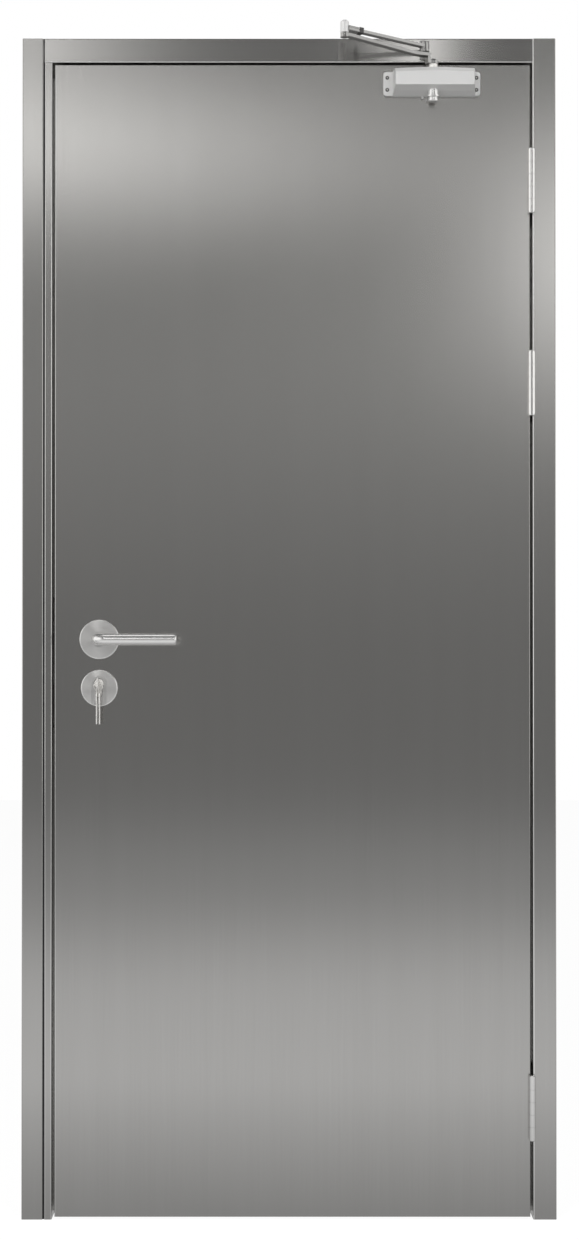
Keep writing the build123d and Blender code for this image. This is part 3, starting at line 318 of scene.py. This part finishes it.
def paint_fold_highlights(material, axis, folds):
    """Paint highlights on a sheet along its front folds, given as pairs of place and strength on one
    axis.
    """
    tree = material.node_tree
    place = tree.nodes.new("ShaderNodeTexCoord")
    split = tree.nodes.new("ShaderNodeSeparateXYZ")
    link(tree, place.outputs["Object"], split.inputs["Vector"])
    front = tree.nodes.new("ShaderNodeMapRange")
    front.interpolation_type = "SMOOTHSTEP"
    front.inputs["From Min"].default_value = leaf_low.y + FOLD_DEPTH
    front.inputs["From Max"].default_value = leaf_low.y + 2 * FOLD_DEPTH
    front.inputs["To Min"].default_value = 1.0
    front.inputs["To Max"].default_value = 0.0
    link(tree, split.outputs["Y"], front.inputs["Value"])
    strongest = None
    for spot, strength in folds:
        line = tree.nodes.new("ShaderNodeGroup")
        line.node_tree = painted_highlight_line
        line.inputs["Place"].default_value = spot
        line.inputs["Strength"].default_value = strength
        link(tree, split.outputs[axis], line.inputs["Across"])
        if strongest is None:
            strongest = line.outputs["Mask"]
            continue
        either = tree.nodes.new("ShaderNodeMath")
        either.operation = "MAXIMUM"
        link(tree, strongest, either.inputs[0])
        link(tree, line.outputs["Mask"], either.inputs[1])
        strongest = either.outputs[0]
    shown = tree.nodes.new("ShaderNodeMath")
    shown.operation = "MULTIPLY"
    link(tree, front.outputs["Result"], shown.inputs[0])
    link(tree, strongest, shown.inputs[1])
    lay_painted_highlight(tree, shown.outputs[0])


def paint_rim_highlight(material, node):
    """Paint a highlight on a round rose along its outer edge."""
    tree = material.node_tree
    low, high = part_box(node)
    place = tree.nodes.new("ShaderNodeTexCoord")
    from_axis = tree.nodes.new("ShaderNodeVectorMath")
    from_axis.operation = "SUBTRACT"
    from_axis.inputs[1].default_value = middle(node)
    link(tree, place.outputs["Object"], from_axis.inputs[0])
    rim = tree.nodes.new("ShaderNodeGroup")
    rim.node_tree = painted_highlight_line
    rim.inputs["Place"].default_value = (high.x - low.x) / 2 - RIM_INSET
    rim.inputs["Strength"].default_value = RIM_STRENGTH
    link(tree, distance_from_y(tree, from_axis.outputs["Vector"]), rim.inputs["Across"])
    lay_painted_highlight(tree, rim.outputs["Mask"])


def turned_rose(name, node):
    """The finish of a pair of roses: rings about their middle and a painted highlight along the rim."""
    material = metal_finish(
        name, SATIN_LIGHT, SATIN_DARK, grain=TURNED_RING, rough=TURNED_ROUGH, bump=0.04, marks=40,
        metallic=0.85, pattern=turned_rings, centre=middle(node), anisotropy=0.55, lay="Y", turn=0.25,
    )
    paint_rim_highlight(material, node)
    return material


upright_sheet = metal_finish(
    "upright_hairline_sheet", SHEET_LIGHT, SHEET_DARK, grain=(HAIR, HAIR, HAIR_LENGTH),
    rough=SHEET_ROUGH, bump=0.02, marks=2.5, drift=0.35, anisotropy=0.57, lay="Z",
)
level_sheet = metal_finish(
    "level_hairline_sheet", SHEET_LIGHT, SHEET_DARK, grain=(HAIR_LENGTH, HAIR, HAIR),
    rough=HEAD_ROUGH, bump=0.02, marks=2.5, drift=0.35, anisotropy=1.0, lay="X",
)
turned_lever_rose = turned_rose("turned_lever_rose", "lever_rose_front")
turned_lock_rose = turned_rose("turned_lock_rose", "cylinder_rose_front")
satin_bar = metal_finish(
    "satin_bar", BAR_LIGHT, BAR_DARK, grain=(0.02, 0.0008, 0.0008),
    rough=(0.14, 0.18), bump=0.02, marks=40, metallic=0.8,
)
satin_plate = metal_finish(
    "satin_plate", SATIN_LIGHT, SATIN_DARK, grain=(0.001, 0.001, 0.03),
    rough=(0.32, 0.42), bump=0.04, marks=40,
)
hinge_steel = metal_finish(
    "hinge_steel", HINGE_LIGHT, HINGE_DARK, grain=(0.002, 0.002, 0.004),
    rough=(0.15, 0.20), bump=0.01, marks=60,
)
nickel = metal_finish(
    "nickel_plate", NICKEL_LIGHT, NICKEL_DARK, grain=(0.003, 0.003, 0.003),
    rough=(0.26, 0.32), bump=0.01, marks=90, drift=0.5, metallic=0.4,
)
silver_paint = metal_finish(
    "silver_paint", SILVER_LIGHT, SILVER_DARK, grain=(0.0004, 0.0004, 0.0004),
    rough=(0.42, 0.48), bump=0.04, marks=30, drift=0.1, metallic=0.5,
)
plated_bar = metal_finish(
    "plated_bar", PLATED_LIGHT, PLATED_DARK, grain=(0.004, 0.004, 0.002),
    rough=(0.20, 0.27), bump=0.02, marks=50, drift=0.5, metallic=0.95,
)
dark_screw = metal_finish(
    "dark_screw", SCREW_LIGHT, SCREW_DARK, grain=(0.001, 0.001, 0.001),
    rough=(0.40, 0.50), bump=0.02, marks=90, metallic=0.3,
)
# Black rubber for the smoke seal, also laid as painted shade in the jamb's groove and round the lock
# cylinder
seal_rubber = metal_finish(
    "seal_rubber", SEAL_AND_SHADE_LIGHT, SEAL_AND_SHADE_DARK, grain=(0.0011, 0.0011, 0.0011),
    rough=(0.55, 0.70), bump=0.15, marks=40, metallic=0.0,
)
core_board = metal_finish(
    "core_board", BOARD_LIGHT, BOARD_DARK, grain=(0.016, 0.016, 0.016),
    rough=(0.80, 0.92), bump=0.5, marks=12, metallic=0.0,
)

# Painted highlights along the front edges of the hinge jamb, the closing strip, the leaf and the head
jamb_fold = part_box("hinge_jamb")[1].x - JAMB_FOLD_INSET
strip_low, strip_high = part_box("lock_side_strip")
paint_fold_highlights(upright_sheet, "X", (
    (jamb_fold, JAMB_FOLD_STRENGTH),
    (strip_low.x + FOLD_INSET, STRIP_FOLD_STRENGTH),
    (strip_high.x - FOLD_INSET, STRIP_FOLD_STRENGTH),
    (leaf_low.x + LEAF_FOLD_INSET, LEAF_FOLD_STRENGTH),
))
paint_fold_highlights(level_sheet, "Z", ((strip_high.z + FOLD_INSET, HEAD_FOLD_STRENGTH),))

hinge_places = ("top", "middle", "bottom")
finishes = {
    upright_sheet: ["lock_jamb", "hinge_jamb", "lock_side_strip", "leaf_front_skin", "leaf_back_skin"],
    level_sheet: ["head", "threshold"],
    turned_lever_rose: ["lever_rose_front", "lever_rose_back"],
    turned_lock_rose: ["cylinder_rose_front", "cylinder_rose_back"],
    satin_bar: ["lever_front", "lever_back", "lever_spindle", "closer_pinion_cap"],
    satin_plate: ["lock_faceplate", "strike_plate"],
    hinge_steel: [f"hinge_{side}_leaf_{place}" for side in ("frame", "door") for place in hinge_places]
    + [f"hinge_pin_{place}" for place in hinge_places],
    nickel: ["lock_cylinder", "cylinder_plug", "key", "key_ring", "spare_key_left", "spare_key_right",
             "latch_bolt", "dead_bolt", "closer_pinion"],
    silver_paint: ["closer_body", "elbow_barrel"],
    plated_bar: ["closer_shoe", "main_arm", "forearm_sleeve", "forearm_bar"],
    dark_screw: ["main_arm_screw", "forearm_clamp"],
    seal_rubber: ["smoke_seal"],
    core_board: ["leaf_core"],
}
for finish, members in finishes.items():
    for member in members:
        mesh = nodes[member].data
        mesh.materials.clear()
        mesh.materials.append(finish)


def add_piece(name, shape, finish, body):
    """Turn a finished bmesh into a piece that rides on a body."""
    bmesh.ops.recalc_face_normals(shape, faces=shape.faces)
    mesh = bpy.data.meshes.new(name)
    shape.to_mesh(mesh)
    shape.free()
    mesh.shade_smooth()
    mesh.set_sharp_from_angle(angle=SHARP_ANGLE)
    mesh.materials.append(finish)
    piece = bpy.data.objects.new(name, mesh)
    bpy.context.scene.collection.objects.link(piece)
    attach(piece, body)
    return piece


def block(size, place):
    """A plain block of a size, with its middle at a place."""
    shape = bmesh.new()
    bmesh.ops.create_cube(shape, size=1.0)
    bmesh.ops.scale(shape, vec=size, verts=shape.verts)
    bmesh.ops.translate(shape, vec=place, verts=shape.verts)
    return shape


def turned_shape(outline):
    """A turned piece on the Z axis, from its half outline as pairs of radius and height."""
    shape = bmesh.new()
    points = [shape.verts.new((radius, 0, height)) for radius, height in outline]
    for start, end in zip(points, points[1:]):
        shape.edges.new((start, end))
    bmesh.ops.spin(shape, geom=shape.verts[:] + shape.edges[:], cent=(0, 0, 0), axis=(0, 0, 1),
                   angle=2 * math.pi, steps=TURN_STEPS, use_merge=True)
    bmesh.ops.remove_doubles(shape, verts=shape.verts, dist=MERGE_DISTANCE)
    return shape


def socket_screw(radius, height, socket):
    """A round screw head with a round socket, standing on the origin and facing +Z."""
    rounding = 0.3 * height
    floor_height = 0.35 * height
    return turned_shape([
        (0, floor_height),
        (socket, floor_height),
        (socket, height),
        (radius - rounding, height),
        (radius - 0.3 * rounding, height - 0.3 * rounding),
        (radius, height - rounding),
        (radius, 0),
        (0, 0),
    ])


def slotted_screw(radius, height, slot_width):
    """A low domed screw head with one slot across it, standing on the origin and facing +Z."""
    crown_height = 0.4 * height
    floor_height = 0.3 * height
    shape = turned_shape([
        (0, height),
        (0.55 * radius, 0.93 * height),
        (0.85 * radius, 0.70 * height),
        (radius, 0.35 * height),
        (radius, 0),
        (0, 0),
    ])
    for side in (-1, 1):
        bmesh.ops.bisect_plane(
            shape,
            geom=shape.verts[:] + shape.edges[:] + shape.faces[:],
            plane_co=(side * slot_width / 2, 0, 0),
            plane_no=(1, 0, 0),
        )
    crown = [
        face for face in shape.faces
        if abs(face.calc_center_median().x) < slot_width / 2
        and face.calc_center_median().z > crown_height
    ]
    sunk = bmesh.ops.extrude_face_region(shape, geom=crown)
    slot_floor = [item for item in sunk["geom"] if isinstance(item, bmesh.types.BMVert)]
    bmesh.ops.delete(shape, geom=crown, context="FACES")
    for vert in slot_floor:
        vert.co.z = floor_height
    return shape


def face_towards(shape, point, direction):
    """Turn a shape made along +Z to a direction and set it down at a point."""
    turn = Vector(direction).to_track_quat("Z", "Y").to_matrix().to_4x4()
    bmesh.ops.transform(shape, matrix=Matrix.Translation(point) @ turn, verts=shape.verts)
    return shape


# Screws in the closer's ears
EAR_SCREW_SIDE = 0.07925
EAR_SCREW_RISE = 0.01075
EAR_FRONT = 0.007
EAR_CENTRE_DROP = 0.035
EAR_SCREW_RADIUS = 0.0033
EAR_SCREW_HEIGHT = 0.0012
EAR_SCREW_SOCKET = 0.0013
ear_x = middle("closer_body").x
ear_z = leaf_high.z - EAR_CENTRE_DROP
for side, side_name in ((-1, "left"), (1, "right")):
    for level, level_name in ((-1, "lower"), (1, "upper")):
        spot = (ear_x + side * EAR_SCREW_SIDE, leaf_low.y - EAR_FRONT, ear_z + level * EAR_SCREW_RISE)
        screw = socket_screw(EAR_SCREW_RADIUS, EAR_SCREW_HEIGHT, EAR_SCREW_SOCKET)
        screw = face_towards(screw, spot, (0, -1, 0))
        screw_name = f"closer_screw_{side_name}_{level_name}"
        piece = add_piece(screw_name, screw, dark_screw, "leaf")
        piece.data.materials.append(nickel)
        for polygon in piece.data.polygons:
            if (polygon.center - Vector(spot)).length < EAR_SCREW_SOCKET:
                polygon.material_index = 1

# Slotted pin head on the elbow
ELBOW_PIN_RADIUS = 0.0052
ELBOW_PIN_HEIGHT = 0.0018
ELBOW_PIN_SLOT = 0.0014
elbow_top = middle("elbow_barrel")
elbow_top.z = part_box("elbow_barrel")[1].z
pin_head = slotted_screw(ELBOW_PIN_RADIUS, ELBOW_PIN_HEIGHT, ELBOW_PIN_SLOT)
pin_head = face_towards(pin_head, elbow_top, (0, 0, 1))
add_piece("elbow_pin_head", pin_head, plated_bar, "closer_forearm")

# Painted shade: a black strip down the groove between the lock jamb and the closing strip, where the
# groove's shade falls
GROOVE_WIDTH = 0.0026
SHADE_STRIP_INSET = 0.003
SHADE_STRIP_DEPTH = 0.004
groove_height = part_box("lock_jamb")[1].z
shade_strip_x = strip_low.x - GROOVE_WIDTH / 2
shade_strip_y = leaf_low.y + SHADE_STRIP_INSET + SHADE_STRIP_DEPTH / 2
shade_strip = block((GROOVE_WIDTH, SHADE_STRIP_DEPTH, groove_height), (shade_strip_x, shade_strip_y, groove_height / 2))
add_piece("groove_painted_shade", shade_strip, seal_rubber, "frame")

# Painted shade: a thin black outline round the lock cylinder, on both roses, standing in for the shadow
# of the gap round it
SHADOW_GAP_WIDTH = 0.0008
SHADOW_GAP_THICKNESS = 0.0003
CYLINDER_RADIUS = 0.0085
CYLINDER_LEG = 0.0050
cylinder_low, cylinder_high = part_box("lock_cylinder")
shadow_gap_x = (cylinder_low.x + cylinder_high.x) / 2
shadow_gap_ends = {
    "round": (CYLINDER_RADIUS + SHADOW_GAP_WIDTH, cylinder_high.z - CYLINDER_RADIUS),
    "foot": (CYLINDER_LEG + SHADOW_GAP_WIDTH, cylinder_low.z + CYLINDER_LEG),
}
leg_top, leg_foot = shadow_gap_ends["round"][1], shadow_gap_ends["foot"][1]
for side, outward, seat_y in (
    ("front", -1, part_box("cylinder_rose_front")[0].y),
    ("back", 1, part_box("cylinder_rose_back")[1].y),
):
    for end, (shadow_gap_radius, shadow_gap_z) in shadow_gap_ends.items():
        outline = [(0, SHADOW_GAP_THICKNESS), (shadow_gap_radius, SHADOW_GAP_THICKNESS), (shadow_gap_radius, 0), (0, 0)]
        shadow_gap = face_towards(turned_shape(outline), (shadow_gap_x, seat_y, shadow_gap_z), (0, outward, 0))
        add_piece(f"cylinder_seam_{side}_{end}", shadow_gap, seal_rubber, "leaf")
    leg_size = (2 * (CYLINDER_LEG + SHADOW_GAP_WIDTH), SHADOW_GAP_THICKNESS, leg_top - leg_foot)
    leg_place = (shadow_gap_x, seat_y + outward * SHADOW_GAP_THICKNESS / 2, (leg_top + leg_foot) / 2)
    leg = block(leg_size, leg_place)
    add_piece(f"cylinder_seam_{side}_leg", leg, seal_rubber, "leaf")

# Hinge plate screws, three to a plate, on the faces that meet when the leaf shuts
HINGE_SCREW_SPACING = 0.036
HINGE_SCREW_RADIUS = 0.0042
HINGE_SCREW_HEIGHT = 0.0005
HINGE_SCREW_SLOT = 0.0011
HINGE_PLATE = 0.0025
for place in hinge_places:
    plate_low, plate_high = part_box(f"hinge_frame_leaf_{place}")
    plate_y = (leaf_low.y + plate_high.y) / 2
    plate_z = (plate_low.z + plate_high.z) / 2
    jamb_face = plate_high.x - HINGE_PLATE
    for side, body, plate_x, outward in (
        ("frame", "frame", jamb_face, -1),
        ("door", "leaf", leaf_high.x, 1),
    ):
        for step, step_name in ((-1, "low"), (0, "mid"), (1, "high")):
            spot = (plate_x, plate_y, plate_z + step * HINGE_SCREW_SPACING)
            screw = slotted_screw(HINGE_SCREW_RADIUS, HINGE_SCREW_HEIGHT, HINGE_SCREW_SLOT)
            screw = face_towards(screw, spot, (outward, 0, 0))
            add_piece(f"hinge_{side}_screw_{place}_{step_name}", screw, nickel, body)

# Screws at both ends of the lock's faceplate, which stands at a slant, and of the strike plate
PLATE_SCREW_INSET = 0.014
PLATE_SCREW_RADIUS = 0.0038
PLATE_SCREW_HEIGHT = 0.0008
PLATE_SCREW_SLOT = 0.0010
FACEPLATE_THICKNESS = 0.003
for node, body, outward in (("lock_faceplate", "leaf", -1), ("strike_plate", "frame", 1)):
    plate_low, plate_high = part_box(node)
    plate_y = (plate_low.y + plate_high.y) / 2
    plate_x = plate_high.x
    if node == "lock_faceplate":
        plate_x = (plate_low.x + plate_high.x) / 2 - FACEPLATE_THICKNESS / 2
    for end, end_z in (
        ("lower", plate_low.z + PLATE_SCREW_INSET),
        ("upper", plate_high.z - PLATE_SCREW_INSET),
    ):
        screw = slotted_screw(PLATE_SCREW_RADIUS, PLATE_SCREW_HEIGHT, PLATE_SCREW_SLOT)
        screw = face_towards(screw, (plate_x, plate_y, end_z), (outward, 0, 0))
        add_piece(f"{node}_screw_{end}", screw, nickel, body)


# The mirrored room: grey levels from the horizon, at 0, to straight up, at 1
ROOM_LEVELS = ((0.0, 0.22), (0.13, 0.35), (0.28, 0.02), (0.40, 0.02), (1.0, 0.08))
# Its soft panels, by where the door's face mirrors them: X, Z, half width, half height and strength
PANELS = (
    (-0.45, 1.91, 1.25, 0.20, 2.1),
    (0.60, 1.73, 0.20, 0.45, 4.7),
    (-0.62, 2.67, 0.54, 0.90, 4.7),
    (0.24, 2.38, 0.10, 0.36, 12.5),
)
# Its sides, its ceiling and what lies behind the door: start and end of the fade to them, and their level
SIDES = (0.36, 0.72, 1.1)
CEILING = (0.40, 0.75, 0.06)
BEHIND = (0.10, 0.60, 1.0)
# Its panel overhead: direction, half sizes and strength
OVERHEAD = ((0.0, -0.12, 0.99), (0.7, 0.2, 0.6), 2.2)
# Even light from all round on surfaces that don't mirror
FILL_LEVEL = 0.18

# Light on the floor by Y, from far before the door to well behind it
POOL_REACH = 9.0
POOL_LEVELS = (
    (-9.0, 0.2),
    (-6.0, 0.37),
    (-4.5, 0.37),
    (-2.5, 0.68),
    (-1.2, 0.73),
    (-0.1, 0.4),
    (1.8, 0.95),
)
# The floor itself: light to the camera, share of real shade in it, roughness, drop below the frame
FLOOR_WHITE = 1.08
FLOOR_SHADE = 0.12
FLOOR_ROUGH = 0.9
FLOOR_DROP = 0.0005

# Lamps before the door: place to the side, in front and up, aim, size, and each one's side and watts
LAMP_SIDE = 2.4
LAMP_FRONT = 4.6
LAMP_HEIGHT = 4.0
LAMP_AIM = (0, 0, 1.3)
LAMP_SIZE = 2.0
LAMPS = {"front_left_lamp": (-1, 205), "front_right_lamp": (1, 160)}


def panel(tree, direction, level, centre, spread, strength):
    """Add one soft panel of light to what the steel mirrors."""
    fit = tree.nodes.new("ShaderNodeMapping")
    fit.vector_type = "TEXTURE"
    fit.inputs["Location"].default_value = centre
    fit.inputs["Scale"].default_value = spread
    link(tree, direction.outputs["Generated"], fit.inputs["Vector"])
    glow = tree.nodes.new("ShaderNodeTexGradient")
    glow.gradient_type = "QUADRATIC_SPHERE"
    link(tree, fit.outputs["Vector"], glow.inputs["Vector"])
    lit = tree.nodes.new("ShaderNodeMath")
    lit.operation = "MULTIPLY_ADD"
    lit.inputs[1].default_value = strength
    link(tree, glow.outputs["Fac"], lit.inputs[0])
    link(tree, level, lit.inputs[2])
    return lit.outputs[0]


def fade_to(tree, level, value, start, end, brightness):
    """Fade a level to a brightness as a value goes from start to end."""
    fade = tree.nodes.new("ShaderNodeMapRange")
    fade.interpolation_type = "SMOOTHSTEP"
    fade.inputs["From Min"].default_value = start
    fade.inputs["From Max"].default_value = end
    link(tree, value, fade.inputs["Value"])
    mix = tree.nodes.new("ShaderNodeMix")
    mix.inputs[3].default_value = brightness
    link(tree, fade.outputs["Result"], mix.inputs[0])
    link(tree, level, mix.inputs[2])
    return mix.outputs[0]


def levels_along(tree, place, reach, levels):
    """Grey levels along a line, given as pairs of place and level, for places from -reach to reach."""
    along = tree.nodes.new("ShaderNodeMapRange")
    along.inputs["From Min"].default_value = -reach
    along.inputs["From Max"].default_value = reach
    link(tree, place, along.inputs["Value"])
    ramp = tree.nodes.new("ShaderNodeValToRGB")
    ramp.color_ramp.interpolation = "LINEAR"
    stops = ramp.color_ramp.elements
    positions = [(spot + reach) / (2 * reach) for spot, _ in levels]
    stops[0].position, stops[1].position = positions[0], positions[-1]
    for position in positions[1:-1]:
        stops.new(position)
    for stop, (_, level) in zip(stops, levels):
        stop.color = (level, level, level, 1.0)
    link(tree, along.outputs["Result"], ramp.inputs["Fac"])
    return ramp.outputs["Color"]


def sky_dome(tree, direction):
    """What the steel mirrors: a dim room with soft panels, pale sides, and white behind the door."""
    split = tree.nodes.new("ShaderNodeSeparateXYZ")
    link(tree, direction.outputs["Generated"], split.inputs["Vector"])
    level = levels_along(tree, split.outputs["Z"], 1.0, ROOM_LEVELS)
    for x, z, half_width, half_height, strength in PANELS:
        sight = Vector((x - CAMERA_SIDE, -CAMERA_DISTANCE, z - CAMERA_HEIGHT))
        spread = (half_width / sight.length, 1.0, half_height / sight.length)
        level = panel(tree, direction, level, sight.normalized(), spread, strength)
    sideways = tree.nodes.new("ShaderNodeMath")
    sideways.operation = "ABSOLUTE"
    link(tree, split.outputs["X"], sideways.inputs[0])
    level = fade_to(tree, level, sideways.outputs[0], *SIDES)
    level = fade_to(tree, level, split.outputs["Z"], *CEILING)
    level = fade_to(tree, level, split.outputs["Y"], *BEHIND)
    return panel(tree, direction, level, *OVERHEAD)


def studio_world():
    """White to the camera, the room to mirrors, and a soft even fill to painted surfaces."""
    world = bpy.data.worlds.new("studio")
    bpy.context.scene.world = world
    world.use_nodes = True
    tree = world.node_tree
    fill = tree.nodes["Background"]
    fill.inputs["Color"].default_value = WHITE
    fill.inputs["Strength"].default_value = FILL_LEVEL
    direction = tree.nodes.new("ShaderNodeTexCoord")
    room = tree.nodes.new("ShaderNodeBackground")
    room.inputs["Color"].default_value = ROOM_WHITE
    link(tree, sky_dome(tree, direction), room.inputs["Strength"])
    white = tree.nodes.new("ShaderNodeBackground")
    white.inputs["Color"].default_value = WHITE
    seen = tree.nodes.new("ShaderNodeLightPath")
    mirrored = tree.nodes.new("ShaderNodeMath")
    mirrored.operation = "MAXIMUM"
    link(tree, seen.outputs["Is Glossy Ray"], mirrored.inputs[0])
    link(tree, seen.outputs["Is Transmission Ray"], mirrored.inputs[1])
    indoors = tree.nodes.new("ShaderNodeMixShader")
    link(tree, mirrored.outputs[0], indoors.inputs[0])
    link(tree, fill.outputs["Background"], indoors.inputs[1])
    link(tree, room.outputs["Background"], indoors.inputs[2])
    shown = tree.nodes.new("ShaderNodeMixShader")
    link(tree, seen.outputs["Is Camera Ray"], shown.inputs[0])
    link(tree, indoors.outputs["Shader"], shown.inputs[1])
    link(tree, white.outputs["Background"], shown.inputs[2])
    link(tree, shown.outputs["Shader"], tree.nodes["World Output"].inputs["Surface"])


def pale_floor():
    """A pale floor: nearly white to the camera, and to mirrors a pool of light before the door."""
    shape = bmesh.new()
    bmesh.ops.create_grid(shape, x_segments=1, y_segments=1, size=POOL_REACH)
    mesh = bpy.data.meshes.new("studio_floor")
    shape.to_mesh(mesh)
    shape.free()
    floor = bpy.data.objects.new("studio_floor", mesh)
    bpy.context.scene.collection.objects.link(floor)
    floor.location = (0, 0, -FLOOR_DROP)
    material = bpy.data.materials.new("pale_floor")
    material.use_nodes = True
    mesh.materials.append(material)
    tree = material.node_tree
    shader = tree.nodes["Principled BSDF"]
    shader.inputs["Base Color"].default_value = FLOOR_PALE
    shader.inputs["Roughness"].default_value = FLOOR_ROUGH
    shader.inputs["Specular IOR Level"].default_value = 0.0
    seen = tree.nodes.new("ShaderNodeLightPath")
    place = tree.nodes.new("ShaderNodeTexCoord")
    split = tree.nodes.new("ShaderNodeSeparateXYZ")
    link(tree, place.outputs["Object"], split.inputs["Vector"])
    mirrored = tree.nodes.new("ShaderNodeEmission")
    pool = levels_along(tree, split.outputs["Y"], POOL_REACH, POOL_LEVELS)
    link(tree, pool, mirrored.inputs["Color"])
    blank = tree.nodes.new("ShaderNodeEmission")
    blank.inputs["Color"].default_value = WHITE
    blank.inputs["Strength"].default_value = FLOOR_WHITE
    shade = tree.nodes.new("ShaderNodeMixShader")
    shade.inputs[0].default_value = FLOOR_SHADE
    link(tree, blank.outputs["Emission"], shade.inputs[1])
    link(tree, shader.outputs["BSDF"], shade.inputs[2])
    glossy = tree.nodes.new("ShaderNodeMixShader")
    link(tree, seen.outputs["Is Glossy Ray"], glossy.inputs[0])
    link(tree, shader.outputs["BSDF"], glossy.inputs[1])
    link(tree, mirrored.outputs["Emission"], glossy.inputs[2])
    camera_side = tree.nodes.new("ShaderNodeMixShader")
    link(tree, seen.outputs["Is Camera Ray"], camera_side.inputs[0])
    link(tree, glossy.outputs["Shader"], camera_side.inputs[1])
    link(tree, shade.outputs["Shader"], camera_side.inputs[2])
    link(tree, camera_side.outputs["Shader"], tree.nodes["Material Output"].inputs["Surface"])


def soft_lamp(name, side, power):
    """A large square lamp before the door, off to one side, which the steel doesn't mirror."""
    data = bpy.data.lights.new(name, "AREA")
    data.size = LAMP_SIZE
    data.energy = power
    lamp = bpy.data.objects.new(name, data)
    place = (side * LAMP_SIDE, -LAMP_FRONT, LAMP_HEIGHT)
    lamp.location = place
    lamp.rotation_euler = (Vector(LAMP_AIM) - Vector(place)).to_track_quat("-Z", "Y").to_euler()
    lamp.visible_camera = False
    lamp.visible_glossy = False
    bpy.context.scene.collection.objects.link(lamp)


studio_world()
pale_floor()
for lamp_name, (lamp_side, lamp_power) in LAMPS.items():
    soft_lamp(lamp_name, lamp_side, lamp_power)

camera_data = bpy.data.cameras.new("photo_camera")
camera_data.sensor_width = CAMERA_SENSOR
camera_data.lens = CAMERA_SENSOR / 2 / (IMAGE_HEIGHT / 2 / CAMERA_DISTANCE)
camera = bpy.data.objects.new("photo_camera", camera_data)
camera.location = (CAMERA_SIDE, leaf_low.y - CAMERA_DISTANCE, CAMERA_HEIGHT)
camera.rotation_euler = (math.pi / 2 + CAMERA_TILT, 0, 0)
bpy.context.scene.collection.objects.link(camera)
bpy.context.scene.camera = camera
bpy.context.scene.view_settings.view_transform = "Standard"
